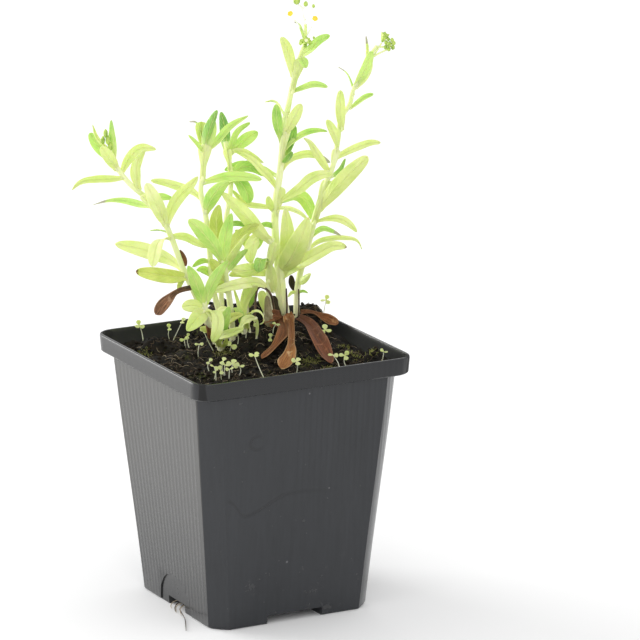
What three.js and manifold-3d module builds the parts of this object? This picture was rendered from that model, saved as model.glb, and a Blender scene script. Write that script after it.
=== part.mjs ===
// A young water forget-me-not in a square plastic nursery pot.
// Millimetres, +Z up. The origin is the middle of the pot's underside, on the surface it stands on.
import * as THREE from "three";
import { mergeVertices } from "three/addons/utils/BufferGeometryUtils.js";
import Module from "manifold-3d";

const wasm = await Module();
wasm.setup();

// Driving dimensions of the pot
const POT_HEIGHT = 99;
const RIM_WIDTH = 90;
const RIM_BAND_HEIGHT = 6.6;
const RIM_BAND_FOOT_WIDTH = 89.2;
const WALL_TOP_WIDTH = 83.2;
const BASE_WIDTH = 66;
const WALL = 1.2;
const RIM_CORNER = 7.2;
const WALL_TOP_CORNER = 11.5;
const BASE_CORNER = 9.9;
const FOOT_CHAMFER = 0.8;
const RIM_LIP = 1.4;
const RIM_ROUNDING = 0.4;
const BAND_STEP = 0.5;
const CORNER_STEPS = 6;

// Drainage at the foot of the pot: a low channel runs in from the middle of each side
const CHANNEL_HEIGHT = 3.4;
const CHANNEL_LENGTH = 15;
const FRONT_CHANNEL_WIDTH = 23;
const SIDE_CHANNEL_WIDTH = 13.6;
const DRAIN_HOLE_RADIUS = 2.5;
const DRAIN_HOLE_SIDES = 12;
const ARCH_WIDTH = 26;
const ARCH_HEIGHT = 13.5;
const ARCH_DEPTH = 0.5;

// The soil, and the turn of the plant in its pot
const GAP = 0.35;
const SOIL_LEVEL = 94.2;
const SOIL_SHOULDER = 1.5;
const CROWN = { right: 8, back: 22, rise: 7, spread: 14 };
const CLOD = { right: 22, back: 41, rise: 5.8, spread: 5.5 };
const SOIL_RINGS = [0.86, 0.7, 0.54, 0.38, 0.24, 0.12];
const PLANT_TURN = THREE.MathUtils.degToRad(-27.9);

// Leaf and stem build
const LEAF_THICKNESS = 0.7;
const LEAF_FOLD = 0.22;
const PETIOLE_SHARE = 0.22;
const BLADE_LEAN = 0.85;
const BLADE_BLUNTNESS = 0.8;
const TIP_THINNING = 0.5;
const LEAF_STEPS = 8;
const STEM_SIDES = 6;
const STEM_STEPS_PER_POINT = 2;
const TOUCH_STEPS = 80;

// Places in the plant are [right, back, up], in the plant's own turned frame.
// Each leaf has its blade's width, the way its width runs, and its midrib from stem to tip.
const STEMS = [
  {
    name: "tall_stem",
    radii: [1.7, 0.7],
    route: [onSoil(12.5, 27), [10, 27, 114.5], [8.5, 25, 129], [8, 23, 145], [10, 21, 160.5],
      [11.5, 19, 176.5], [13.5, 18, 188], [16, 17, 200], [19.5, 16, 210.5]],
    leaves: [
      { width: 3.6, across: [1, 0, 0], midrib: [[10.5, 20, 171], [9, 16, 180], [8.5, 15, 187.5]] },
      { width: 4.1, across: [0.9, 0, -0.4],
        midrib: [[11.5, 19, 174], [14.5, 15, 180.5], [18, 13, 188]] },
      { width: 3.2, across: [0.5, 0.3, 0.8],
        midrib: [[9, 22, 153], [6, 20, 158], [3, 18, 161.5], [-0.5, 17, 165.5], [-8, 15, 170]] },
      { width: 3.7, across: [0, 0.3, 0.95],
        midrib: [[9.5, 21, 158], [4, 25, 160], [-1.5, 28, 160.5], [-5, 30, 160.5], [-11.5, 32, 158]] },
      { width: 4, across: [-0.3, 0.3, 0.9],
        midrib: [[8.5, 23, 147.5], [13.5, 19, 151.5], [18, 17, 155], [22, 15, 159],
          [27, 13, 161], [30, 12, 161]] },
      { width: 5.2, across: [0.7, 0.1, 0.7],
        midrib: [[8.5, 23, 146.5], [13, 28, 148], [17.5, 32, 148], [21, 34, 143], [22.5, 34, 137.5]] },
      { width: 4.3, across: [1, 0, 0], midrib: [[9, 25, 123.5], [11, 18, 134.5], [11.5, 15, 148]] },
      { width: 6.6, across: [0.9, 0, -0.4],
        midrib: [[9.5, 26, 120], [13, 16, 126.5], [16.5, 9, 135.5], [20.5, 6, 145.5]] },
      { width: 4.6, across: [-0.2, 0.4, 0.9],
        midrib: [[10, 26, 117.5], [14.5, 20, 123], [19.5, 16, 127], [25, 13, 131],
          [30.5, 11, 134], [35.5, 10, 133.5]] },
      { width: 5, across: [0, 0.3, 1],
        midrib: [[9, 26, 119.5], [5, 29, 119.5], [-1.5, 30, 120], [-9, 29, 120]] },
    ],
  },
  {
    name: "right_stem",
    radii: [1.15, 0.6],
    route: [onSoil(16, 33), [16.5, 32, 113.5], [20.5, 29, 130], [24, 26, 145],
      [27, 24, 154.5], [30, 22, 163],
      [31.5, 21, 171.5], [33, 20, 181], [36, 19, 186.5], [37.5, 18, 192.5], [41.5, 16, 199],
        [44, 15, 206.5], [46, 14.4, 209.4]],
    leaves: [
      { width: 3.6, across: [1, 0, 0], midrib: [[33, 20, 177], [32.5, 16, 185], [32.5, 15, 192.5]] },
      { width: 2.9, across: [0, 0.7, 0.7],
        midrib: [[30, 22, 164.5], [35, 26, 166.5], [40, 29, 168], [44.5, 31, 169], [48, 33, 168.5]] },
      { width: 2.9, across: [0.7, 0.2, 0.7],
        midrib: [[28.5, 23, 159], [25.5, 19, 165], [23, 16, 169.5], [21, 14, 173], [18.5, 13, 175]] },
      { width: 6.2, across: [-0.65, 0.1, 0.7],
        midrib: [[24, 26, 144], [30.5, 20, 153.5], [36, 16, 160.5], [40.5, 13, 165.5],
          [43, 11, 168.5]] },
      { width: 4.6, across: [0.85, 0.2, -0.5],
        midrib: [[24.5, 26, 145.5], [28, 31, 149.5], [31.5, 35, 154.5]] },
      { width: 2.6, across: [0, 0.7, 0.7],
        midrib: [[20.5, 29, 128], [24, 33, 130], [28.5, 36, 130.5], [34.5, 39, 130],
          [39, 41, 128.5], [41, 42, 124.5]] },
    ],
  },
  {
    name: "side_stem",
    radii: [1.1, 0.8],
    route: [onSoil(6.5, 20), [5.5, 20, 114.5], [5.5, 19, 125.5], [7, 18, 135]],
    leaves: [
      { width: 5.1, across: [0.7, 0.1, 0.7],
        midrib: [[6.5, 18, 133.5], [1.5, 12, 140], [-3, 8, 146.5], [-12, 4, 156.5]] },
      { width: 4.4, across: [0.6, 0.8, 0.1],
        midrib: [[6.5, 18, 134.5], [3, 16.5, 136.5], [0, 14.5, 134], [-1.5, 13.5, 126.5]] },
    ],
  },
  {
    name: "left_stem",
    radii: [1.15, 0.8],
    route: [onSoil(-14, 10), [-18.5, 5, 108.5], [-22, 4, 117.5], [-26, 2, 127],
      [-30, -2, 139.5], [-34, -5, 149.5],
      [-38, -8, 155.5], [-46, -12, 164], [-51, -15, 172]],
    leaves: [
      { width: 3, across: [0, 0.5, 0.85],
        midrib: [[-48.5, -13, 166.5], [-45, -9, 172.5], [-41.5, -6, 175], [-38, -3, 174.5],
          [-35.5, -1, 173.5]] },
      { width: 3, across: [1, 0.1, -0.2],
        midrib: [[-42, -10, 159.5], [-42.5, -15, 166.5], [-42, -18, 172.5], [-39, -20, 178]] },
      { width: 2.7, across: [0, 0.6, 0.8],
        midrib: [[-47.5, -13, 165.5], [-52, -17, 166], [-57.5, -20, 166.5], [-63, -23, 166],
          [-66, -25, 163.5]] },
      { width: 2.8, across: [0, 0.6, 0.8],
        midrib: [[-37, -7, 154], [-42, -3, 152], [-45.5, 0, 153], [-49.5, 3, 153],
          [-53, 5, 152.5], [-60.5, 8, 150.5]] },
      { width: 5, across: [0.9, 0, 0.45],
        midrib: [[-32, -4, 145], [-35, -12, 154.5], [-39, -16, 164.5]] },
      { width: 4.6, across: [1, 0, 0.3],
        midrib: [[-30.5, -2, 140], [-34.5, -9, 140.5], [-36, -13, 137.5], [-37, -15, 132]] },
      { width: 5.8, across: [0, 0.3, 0.95],
        midrib: [[-26, 2, 127], [-31, 7, 129.5], [-37, 11, 131], [-44.5, 14, 132.5],
          [-52.5, 16, 133.5]] },
      { width: 5.5, across: [0, 0.2, 1],
        midrib: [[-24.5, 3, 124], [-31.5, -6, 126.5], [-37.5, -10, 128.5], [-43.5, -14, 130.5]] },
    ],
  },
  {
    name: "middle_stem",
    radii: [1.1, 0.8],
    route: [onSoil(-10.5, 15), [-15.5, 12, 118.5], [-16.5, 11, 132.5], [-18, 10, 147], [-19.5, 9, 155],
      [-19, 9, 161.5], [-18, 8, 171.5]],
    leaves: [
      { width: 3, across: [0, 0.6, 0.8],
        midrib: [[-19, 10, 152], [-23.5, 14, 154.5], [-27.5, 17, 155], [-33, 20, 156], [-39, 22, 156.5]] },
      { width: 3.5, across: [0, 0.4, 0.9],
        midrib: [[-19, 9, 159.5], [-14, 12, 160], [-8.5, 15, 160], [-3, 15, 159.5], [3, 14, 159]] },
      { width: 4, across: [0.85, 0, -0.5],
        midrib: [[-18, 10, 146.5], [-15.5, 5, 153.5], [-12, 2, 158.5], [-8.5, 0, 161.5]] },
    ],
  },
  {
    name: "rear_stem",
    radii: [1, 0.8],
    route: [onSoil(-12, 22), [-12.5, 22, 122], [-11, 22, 137.5], [-8.5, 23, 157],
      [-9, 24, 162], [-10.5, 24, 171]],
    leaves: [
      { width: 4.6, across: [0.9, 0, 0.4],
        midrib: [[-9, 23, 155], [-6, 21, 156.5], [-3, 19, 153.5], [-1.5, 18, 148.5]] },
    ],
  },
  {
    name: "front_stem",
    radii: [1.2, 0.9],
    route: [onSoil(-8, 11.5), [-9, 5, 115], [-10, 2, 123], [-11, 0, 130.5]],
    leaves: [
      { width: 5.4, across: [0.76, 0, 0.65],
        midrib: [[-11, 0, 129.5], [-14, -5, 137], [-17.5, -8, 142.5], [-20.5, -10, 146.5],
          [-24, -11, 149.5]] },
      { width: 4, across: [1, 0, 0], midrib: [[-11, 0, 129.5], [-10.5, 4, 138], [-8, 6, 148]] },
    ],
  },
  {
    name: "low_stem",
    radii: [1.3, 1],
    route: [onSoil(-12.5, 6), [-15.2, 0, 104.5], [-17.6, -5.2, 111], [-18, -6, 116]],
    leaves: [
      { width: 4, across: [0.9, 0, 0.4],
        midrib: [[-18, -6, 114.5], [-21.5, -11, 126.5], [-24, -13, 132.5]] },
      { width: 3.7, across: [0.8, 0, -0.6],
        midrib: [[-18, -6, 115], [-14.5, -9.5, 125.5], [-9, -11, 134]] },
      { width: 6.2, across: [0.7, 0, 0.7],
        midrib: [[-18, -6, 113], [-20.5, -14, 112.5], [-24.5, -18, 108.5]] },
      { width: 5.3, across: [1, 0, 0.1],
        midrib: [[-17.5, -6, 113], [-13.5, -12, 113.5], [-13, -15, 109], [-15, -16, 103.5]] },
    ],
  },
];

// Dead leaves that lie from the crown over the soil, and one that hangs from the left stem
const WITHERED_LEAVES = [
  { width: 3.6, across: [1, 0.2, 0],
    midrib: [[13.5, 24, 104], [14, 14, 101.5], [14.5, 2, 98.5], [12.5, -11, 96.5], [10.5, -25, 95.6]] },
  { width: 3.4, across: [0.8, 0.5, 0.2],
    midrib: [[10, 22, 103], [11, 12, 101.5], [9, 2, 98.4], [6, -6.5, 97], [3, -12, 96]] },
  { width: 4.8, across: [0.8, 0.5, 0.3],
    midrib: [[16.5, 25, 103], [20.5, 19, 101.5], [24, 8, 98.7], [27, -5, 96.5], [29, -19, 95.5]] },
  { width: 2.6, across: [0, 0.9, 0.4],
    midrib: [[17.5, 29, 103.5], [21.5, 30, 103], [26, 29.5, 101], [31.5, 28, 99.5]] },
  { width: 4.4, across: [0.7, 0.3, 0.6],
    midrib: [[-19.9, 0.4, 115.9], [-23.6, -2.6, 121], [-27.7, -6, 121.3], [-31.9, -10, 120],
      [-36.3, -14, 116]] },
];

// The open flowers and the buds above the leaves
const FLOWER_WIDTH = 7;
const PETALS = 5;
const PETAL_THICKNESS = 0.5;
const PETAL_NOTCH = 0.38;
const PETAL_ROUNDNESS = 0.6;
const PETAL_POINTS = 8;
const CALYX_RADIUS = 1.1;
const CALYX_LENGTH = 2.4;
const FLOWER_STALK_RADIUS = 0.45;
const FLOWER_STALK = [[19.6, 16, 211.6], [19.5, 15.4, 217], [18.8, 15.4, 220.5], [18, 15.4, 223.5]];
const FLOWERS = [
  { name: "left_flower", at: [14, 11.5, 222], facing: [-0.25, -0.75, 0.6] },
  { name: "right_flower", at: [23, 12.5, 220], facing: [0.15, -0.8, 0.55] },
];
const BUDS = [
  { name: "top_bud_left", at: [16.3, 15, 226.5], size: [2.6, 2.6, 3.4] },
  { name: "top_bud_right", at: [19.6, 16, 225.8], size: [2.4, 2.4, 3] },
  { name: "side_bud_upper", at: [48.3, 14, 212.6], size: [3, 3, 3.8] },
  { name: "side_bud_lower", at: [51, 13, 209.4], size: [3.2, 3.2, 3.2] },
];

const FINISH = {
  plastic: { color: 0x3c3e41, roughness: 0.5, metalness: 0 },
  soil: { color: 0x231c14, roughness: 0.95, metalness: 0 },
  stem: { color: 0xdde69b, roughness: 0.6, metalness: 0 },
  leaf: { color: 0xb9dc6c, roughness: 0.6, metalness: 0 },
  withered: { color: 0x74451c, roughness: 0.85, metalness: 0 },
  petal: { color: 0xe8eefc, roughness: 0.7, metalness: 0 },
  bud: { color: 0x9fc25a, roughness: 0.7, metalness: 0 },
};

const myosotis = new THREE.Group();
const plant = new THREE.Group();
plant.rotation.z = PLANT_TURN;
myosotis.add(plant);

function addPiece(group, name, geometry, finish) {
  const mesh = new THREE.Mesh(geometry, new THREE.MeshStandardMaterial(FINISH[finish]));
  mesh.name = name;
  group.add(mesh);
}

// Height of the soil over its level, for a place in the plant's frame
function soilRise(right, back) {
  return [CROWN, CLOD].reduce((rise, hump) => {
    const away = (right - hump.right) ** 2 + (back - hump.back) ** 2;
    return rise + hump.rise * Math.exp(-away / (2 * hump.spread ** 2));
  }, 0);
}

// A stem's foot, just clear of the soil
function onSoil(right, back) {
  return [right, back, SOIL_LEVEL + soilRise(right, back) + 3 * GAP];
}

// A closed skin over rings of points that run anticlockwise about the way from the first to the last
function skin(start, rings, end) {
  const sides = rings[0].length;
  const points = [...rings.flat(), start, end];
  const first = points.length - 2;
  const last = points.length - 1;
  const faces = [];
  for (let side = 0; side < sides; side += 1) {
    const next = (side + 1) % sides;
    const top = (rings.length - 1) * sides;
    faces.push(first, next, side);
    faces.push(last, top + side, top + next);
    for (let ring = 0; ring < rings.length - 1; ring += 1) {
      const here = ring * sides;
      const there = here + sides;
      faces.push(here + side, here + next, there + side);
      faces.push(here + next, there + next, there + side);
    }
  }
  const geometry = new THREE.BufferGeometry().setFromPoints(points);
  geometry.setIndex(faces);
  return geometry;
}

const vector = (place) => new THREE.Vector3(...place);

// Where a share of the way along a curve lies, with the ways on, across and out of the blade
function stationAt(curve, share, acrossHint) {
  const at = curve.getPointAt(share);
  const along = curve.getTangentAt(share);
  const across = acrossHint.clone().addScaledVector(along, -acrossHint.dot(along)).normalize();
  const out = new THREE.Vector3().crossVectors(along, across);
  return { at, along, across, out };
}

function stemGeometry({ route, radii: [low, high] }, sides = STEM_SIDES) {
  const curve = new THREE.CatmullRomCurve3(route.map(vector));
  const steps = (route.length - 1) * STEM_STEPS_PER_POINT;
  const hint = new THREE.Vector3(0, 1, 0);
  const rings = [];
  for (let step = 0; step <= steps; step += 1) {
    const share = step / steps;
    const station = stationAt(curve, share, hint);
    const radius = THREE.MathUtils.lerp(low, high, share);
    rings.push(Array.from({ length: sides }, (_, side) => {
      const angle = (2 * Math.PI * side) / sides;
      return station.at.clone()
        .addScaledVector(station.across, radius * Math.cos(angle))
        .addScaledVector(station.out, radius * Math.sin(angle));
    }));
  }
  return skin(curve.getPointAt(0), rings, curve.getPointAt(1));
}

// Half the width of a blade at a share of its length, for a blade of width 2
function bladeHalfWidth(share) {
  return Math.max(PETIOLE_SHARE * (1 - share), Math.sin(Math.PI * share ** BLADE_LEAN) ** BLADE_BLUNTNESS);
}

// Share of a midrib that lies inside its stem or closer to it than the gap
function shareInStem(curve, stem, halfPetiole) {
  if (!stem) return 0;
  const line = new THREE.CatmullRomCurve3(stem.route.map(vector));
  let inside = 0;
  for (let step = 0; step <= TOUCH_STEPS / 2; step += 1) {
    const share = step / TOUCH_STEPS;
    const at = curve.getPointAt(share);
    for (let stemStep = 0; stemStep <= 2 * TOUCH_STEPS; stemStep += 1) {
      const height = stemStep / (2 * TOUCH_STEPS);
      const radius = THREE.MathUtils.lerp(...stem.radii, height);
      const reach = radius + halfPetiole + GAP;
      if (at.distanceTo(line.getPointAt(height)) < reach) inside = share;
    }
  }
  return inside + 1 / TOUCH_STEPS;
}

function leafGeometry({ midrib, across, width }, stem) {
  const curve = new THREE.CatmullRomCurve3(midrib.map(vector));
  const hint = vector(across).normalize();
  const start = shareInStem(curve, stem, (PETIOLE_SHARE * width) / 2);
  const rings = [];
  for (let step = 0; step < LEAF_STEPS; step += 1) {
    const share = step / LEAF_STEPS;
    const station = stationAt(curve, THREE.MathUtils.lerp(start, 1, share), hint);
    const half = (width / 2) * bladeHalfWidth(share);
    const sunk = -LEAF_FOLD * half;
    const thick = LEAF_THICKNESS * (1 - TIP_THINNING * share);
    const middle = (height) => station.at.clone().addScaledVector(station.out, height);
    rings.push([
      station.at.clone().addScaledVector(station.across, half),
      middle(sunk + thick / 2),
      station.at.clone().addScaledVector(station.across, -half),
      middle(sunk - thick / 2),
    ]);
  }
  const base = stationAt(curve, start, hint);
  const baseSunk = (-LEAF_FOLD * PETIOLE_SHARE * width) / 2;
  return skin(base.at.addScaledVector(base.out, baseSunk), rings, curve.getPointAt(1));
}

// A ring of a square with round corners, anticlockwise seen from above
function squareRing(width, corner, height) {
  const ring = [];
  for (let turn = 0; turn < 4; turn += 1) {
    const quarter = (turn * Math.PI) / 2;
    const reach = width / 2 - corner;
    const cos = Math.cos(quarter);
    const sin = Math.sin(quarter);
    for (let step = 0; step < CORNER_STEPS; step += 1) {
      const angle = (step / (CORNER_STEPS - 1)) * (Math.PI / 2);
      const x = reach + corner * Math.cos(angle);
      const y = reach + corner * Math.sin(angle);
      ring.push(new THREE.Vector3(x * cos - y * sin, x * sin + y * cos, height));
    }
  }
  return ring;
}

const BAND_FOOT = POT_HEIGHT - RIM_BAND_HEIGHT;

// Width and corner radius of the wall's outside at a height
function wallWidth(height) {
  return THREE.MathUtils.lerp(BASE_WIDTH, WALL_TOP_WIDTH, height / BAND_FOOT);
}

function wallCorner(height) {
  return THREE.MathUtils.lerp(BASE_CORNER, WALL_TOP_CORNER, height / BAND_FOOT);
}

function solidOf(geometry) {
  const bare = geometry.clone();
  bare.deleteAttribute("normal");
  bare.deleteAttribute("uv");
  const merged = mergeVertices(bare, 1e-4);
  return new wasm.Manifold(new wasm.Mesh({
    numProp: 3,
    vertProperties: new Float32Array(merged.getAttribute("position").array),
    triVerts: new Uint32Array(merged.index.array),
  }));
}

function geometryOf(solid) {
  const mesh = solid.getMesh();
  const geometry = new THREE.BufferGeometry();
  geometry.setAttribute("position", new THREE.BufferAttribute(mesh.vertProperties, 3));
  geometry.setIndex(new THREE.BufferAttribute(mesh.triVerts, 1));
  return geometry;
}

// A box along one of the four channels: side of the pot, width, length from the wall, and heights
function channelBox(side, width, length, bottom, top) {
  const middle = BASE_WIDTH / 2 + 1 - length / 2;
  const box = new THREE.BoxGeometry(length, width, top - bottom);
  box.translate(middle, 0, (top + bottom) / 2);
  box.rotateZ((side * Math.PI) / 2);
  return solidOf(box);
}

const CHANNELS = [0, 1, 2, 3].map((side) => ({
  side,
  width: side % 2 ? FRONT_CHANNEL_WIDTH : SIDE_CHANNEL_WIDTH,
}));

function tunnels(spare) {
  return CHANNELS.map(({ side, width }) => channelBox(
    side,
    width + 2 * (WALL + spare),
    CHANNEL_LENGTH + WALL + spare + 1,
    0,
    CHANNEL_HEIGHT + WALL + spare,
  ));
}

// The arched panel, sunk a little, low on the two narrow-channel sides
function archPanel(side) {
  const arch = new THREE.Shape();
  arch.moveTo(-ARCH_WIDTH / 2, -1);
  arch.lineTo(ARCH_WIDTH / 2, -1);
  arch.lineTo(ARCH_WIDTH / 2 - 2, ARCH_HEIGHT * 0.45);
  arch.quadraticCurveTo(ARCH_WIDTH / 4, ARCH_HEIGHT, 0, ARCH_HEIGHT);
  arch.quadraticCurveTo(-ARCH_WIDTH / 4, ARCH_HEIGHT, -ARCH_WIDTH / 2 + 2, ARCH_HEIGHT * 0.45);
  arch.closePath();
  const lean = Math.atan((WALL_TOP_WIDTH - BASE_WIDTH) / 2 / BAND_FOOT);
  const panel = new THREE.ExtrudeGeometry(arch, { depth: 6, bevelEnabled: false, curveSegments: 5 });
  panel.translate(0, 0, -ARCH_DEPTH);
  panel.rotateX(Math.PI / 2 + lean);
  panel.rotateZ(Math.PI / 2);
  panel.translate(BASE_WIDTH / 2, 0, 0);
  panel.rotateZ(side * Math.PI);
  return solidOf(panel);
}

function potGeometry() {
  const ledge = BAND_FOOT - WALL;
  const shell = solidOf(skin(
    new THREE.Vector3(0, 0, 0),
    [
      squareRing(BASE_WIDTH - 2 * FOOT_CHAMFER, BASE_CORNER - FOOT_CHAMFER, 0),
      squareRing(wallWidth(FOOT_CHAMFER), BASE_CORNER, FOOT_CHAMFER),
      squareRing(WALL_TOP_WIDTH, WALL_TOP_CORNER, BAND_FOOT - BAND_STEP),
      squareRing(WALL_TOP_WIDTH + 2 * BAND_STEP, WALL_TOP_CORNER, BAND_FOOT),
      squareRing(RIM_BAND_FOOT_WIDTH, RIM_CORNER, BAND_FOOT),
      squareRing(RIM_WIDTH, RIM_CORNER, POT_HEIGHT - RIM_ROUNDING),
      squareRing(RIM_WIDTH - 2 * RIM_ROUNDING, RIM_CORNER - RIM_ROUNDING, POT_HEIGHT),
      squareRing(RIM_WIDTH - 2 * RIM_LIP, RIM_CORNER - 1, POT_HEIGHT),
      squareRing(RIM_BAND_FOOT_WIDTH - 2 * RIM_LIP, RIM_CORNER - 1, ledge + 2 * WALL),
      squareRing(wallWidth(ledge) - 2 * WALL, WALL_TOP_CORNER - WALL, ledge + WALL),
      squareRing(wallWidth(WALL) - 2 * WALL, BASE_CORNER - WALL, WALL),
    ],
    new THREE.Vector3(0, 0, WALL),
  ));
  const inside = solidOf(skin(
    new THREE.Vector3(0, 0, -1),
    [
      squareRing(wallWidth(0) - WALL / 2, BASE_CORNER, -1),
      squareRing(wallWidth(2 * ARCH_HEIGHT) - WALL / 2, BASE_CORNER, 2 * ARCH_HEIGHT),
    ],
    new THREE.Vector3(0, 0, 2 * ARCH_HEIGHT),
  ));
  let pot = tunnels(0).reduce((joined, tunnel) => joined.add(tunnel.intersect(inside)), shell);
  for (const { side, width } of CHANNELS) {
    pot = pot.subtract(channelBox(side, width, CHANNEL_LENGTH + 1, -1, CHANNEL_HEIGHT));
    const reach = 3 * WALL;
    const drain = new THREE.CylinderGeometry(DRAIN_HOLE_RADIUS, DRAIN_HOLE_RADIUS, reach, DRAIN_HOLE_SIDES);
    drain.rotateX(Math.PI / 2);
    drain.translate(BASE_WIDTH / 2 - CHANNEL_LENGTH + 2 * DRAIN_HOLE_RADIUS, 0, CHANNEL_HEIGHT + WALL / 2);
    drain.rotateZ((side * Math.PI) / 2);
    pot = pot.subtract(solidOf(drain));
  }
  return geometryOf([0, 1].reduce((cut, side) => cut.subtract(archPanel(side)), pot));
}

function soilGeometry() {
  const bottom = WALL + GAP;
  const inset = 2 * (WALL + GAP);
  const edge = squareRing(wallWidth(SOIL_LEVEL) - inset, WALL_TOP_CORNER - WALL, SOIL_LEVEL);
  const shoulderLevel = SOIL_LEVEL - SOIL_SHOULDER;
  const shoulder = squareRing(wallWidth(shoulderLevel) - inset, WALL_TOP_CORNER - WALL, shoulderLevel);
  const upright = new THREE.Vector3(0, 0, 1);
  const crown = new THREE.Vector3(CROWN.right, CROWN.back, 0).applyAxisAngle(upright, PLANT_TURN);
  const lifted = (point) => {
    const place = point.clone().applyAxisAngle(upright, -PLANT_TURN);
    return point.setZ(SOIL_LEVEL + soilRise(place.x, place.y));
  };
  const rings = SOIL_RINGS.map((share) => edge.map((point) => lifted(crown.clone().lerp(point, share))));
  const block = solidOf(skin(
    new THREE.Vector3(0, 0, bottom),
    [squareRing(wallWidth(bottom) - inset, BASE_CORNER - WALL, bottom), shoulder, edge, ...rings],
    lifted(crown.clone()),
  ));
  return geometryOf(tunnels(GAP).reduce((cut, tunnel) => cut.subtract(tunnel), block));
}

// The way a flower faces, as the turn that brings +Z there
function turnTo(facing) {
  return new THREE.Quaternion().setFromUnitVectors(new THREE.Vector3(0, 0, 1), vector(facing).normalize());
}

function flowerGeometry({ at, facing }) {
  const outline = new THREE.Shape();
  const points = PETAL_POINTS * PETALS;
  for (let point = 0; point < points; point += 1) {
    const angle = (2 * Math.PI * point) / points;
    const lobe = Math.abs(Math.cos((PETALS * angle) / 2)) ** PETAL_ROUNDNESS;
    const reach = (FLOWER_WIDTH / 2) * (1 - PETAL_NOTCH + PETAL_NOTCH * lobe);
    const place = [reach * Math.cos(angle), reach * Math.sin(angle)];
    if (point) outline.lineTo(...place);
    else outline.moveTo(...place);
  }
  outline.closePath();
  const corolla = new THREE.ExtrudeGeometry(outline, { depth: PETAL_THICKNESS, bevelEnabled: false });
  const calyx = new THREE.CylinderGeometry(CALYX_RADIUS, CALYX_RADIUS / 3, CALYX_LENGTH, 8);
  calyx.rotateX(Math.PI / 2);
  calyx.translate(0, 0, -CALYX_LENGTH / 2 + PETAL_THICKNESS / 2);
  const whole = geometryOf(solidOf(corolla).add(solidOf(calyx)));
  whole.applyQuaternion(turnTo(facing));
  whole.translate(...at);
  return whole;
}

addPiece(myosotis, "pot", potGeometry(), "plastic");
addPiece(myosotis, "soil", soilGeometry(), "soil");
for (const stem of STEMS) {
  addPiece(plant, stem.name, stemGeometry(stem), "stem");
  stem.leaves.forEach((leaf, index) => {
    addPiece(plant, `${stem.name}_leaf_${index + 1}`, leafGeometry(leaf, stem), "leaf");
  });
}
WITHERED_LEAVES.forEach((leaf, index) => {
  addPiece(plant, `withered_leaf_${index + 1}`, leafGeometry(leaf), "withered");
});
const stalk = { route: FLOWER_STALK, radii: [FLOWER_STALK_RADIUS, FLOWER_STALK_RADIUS] };
addPiece(plant, "flower_stalk", stemGeometry(stalk), "stem");
for (const flower of FLOWERS) addPiece(plant, flower.name, flowerGeometry(flower), "petal");
for (const { name, at, size } of BUDS) {
  const bud = new THREE.SphereGeometry(0.5, 8, 6);
  bud.rotateX(Math.PI / 2);
  bud.scale(...size);
  bud.translate(...at);
  addPiece(plant, name, bud, "bud");
}

export default myosotis;
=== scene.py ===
"""The looks of a young water forget-me-not in a square nursery pot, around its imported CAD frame."""

import logging
import math
import random
from contextlib import contextmanager
from dataclasses import dataclass, field, replace
from enum import Enum
from typing import Callable, Iterator, Optional, Sequence, Union

import bmesh
import bpy
from mathutils import Matrix, Vector
from mathutils.bvhtree import BVHTree

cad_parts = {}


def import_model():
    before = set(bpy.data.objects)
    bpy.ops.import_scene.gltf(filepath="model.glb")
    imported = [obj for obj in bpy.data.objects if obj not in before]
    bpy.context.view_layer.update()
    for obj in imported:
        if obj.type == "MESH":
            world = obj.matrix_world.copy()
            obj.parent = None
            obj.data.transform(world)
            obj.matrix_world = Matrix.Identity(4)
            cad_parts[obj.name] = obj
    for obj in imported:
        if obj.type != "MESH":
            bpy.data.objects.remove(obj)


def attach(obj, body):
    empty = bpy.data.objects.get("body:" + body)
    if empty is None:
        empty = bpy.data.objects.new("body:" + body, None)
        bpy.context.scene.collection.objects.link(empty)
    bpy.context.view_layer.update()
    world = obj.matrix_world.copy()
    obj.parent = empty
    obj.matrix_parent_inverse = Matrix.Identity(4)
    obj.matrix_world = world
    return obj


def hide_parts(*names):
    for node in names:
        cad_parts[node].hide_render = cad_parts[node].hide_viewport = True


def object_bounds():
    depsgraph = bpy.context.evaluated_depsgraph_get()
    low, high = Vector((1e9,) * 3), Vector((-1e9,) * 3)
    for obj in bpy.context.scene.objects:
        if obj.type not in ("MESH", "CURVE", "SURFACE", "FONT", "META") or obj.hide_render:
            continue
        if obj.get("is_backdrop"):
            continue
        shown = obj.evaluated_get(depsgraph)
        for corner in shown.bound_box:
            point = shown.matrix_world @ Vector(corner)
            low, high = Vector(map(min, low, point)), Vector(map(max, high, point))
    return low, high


LOG = logging.getLogger("myosotis")
MM = 0.001
BODY = "root"
PLANT_TURN = math.radians(-27.9)
UP = Vector((0, 0, 1))
FIFTH = 72

Place = tuple[float, float, float]
Colour = tuple[float, float, float]
Piece = bpy.types.Object
Material = bpy.types.Material
Socket = bpy.types.NodeSocket
Vert = bmesh.types.BMVert
Edge = bmesh.types.BMEdge


def spot(place: Sequence[float]) -> Vector:
    """Moves a place, right, back and up in mm in the plant's turned frame, into the row frame in metres."""
    return Matrix.Rotation(PLANT_TURN, 3, "Z") @ Vector(place) * MM


def upright_to(way: Vector) -> Matrix:
    """The turn that brings a piece's top to face a way."""
    return UP.rotation_difference(way).to_matrix().to_4x4()


def screen(red: int, green: int, blue: int) -> Colour:
    """Turns a colour as seen on a screen, each part 0 to 255, into linear light."""
    shares = (value / 255 for value in (red, green, blue))
    return tuple(s / 12.92 if s <= 0.04045 else ((s + 0.055) / 1.055) ** 2.4 for s in shares)


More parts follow.
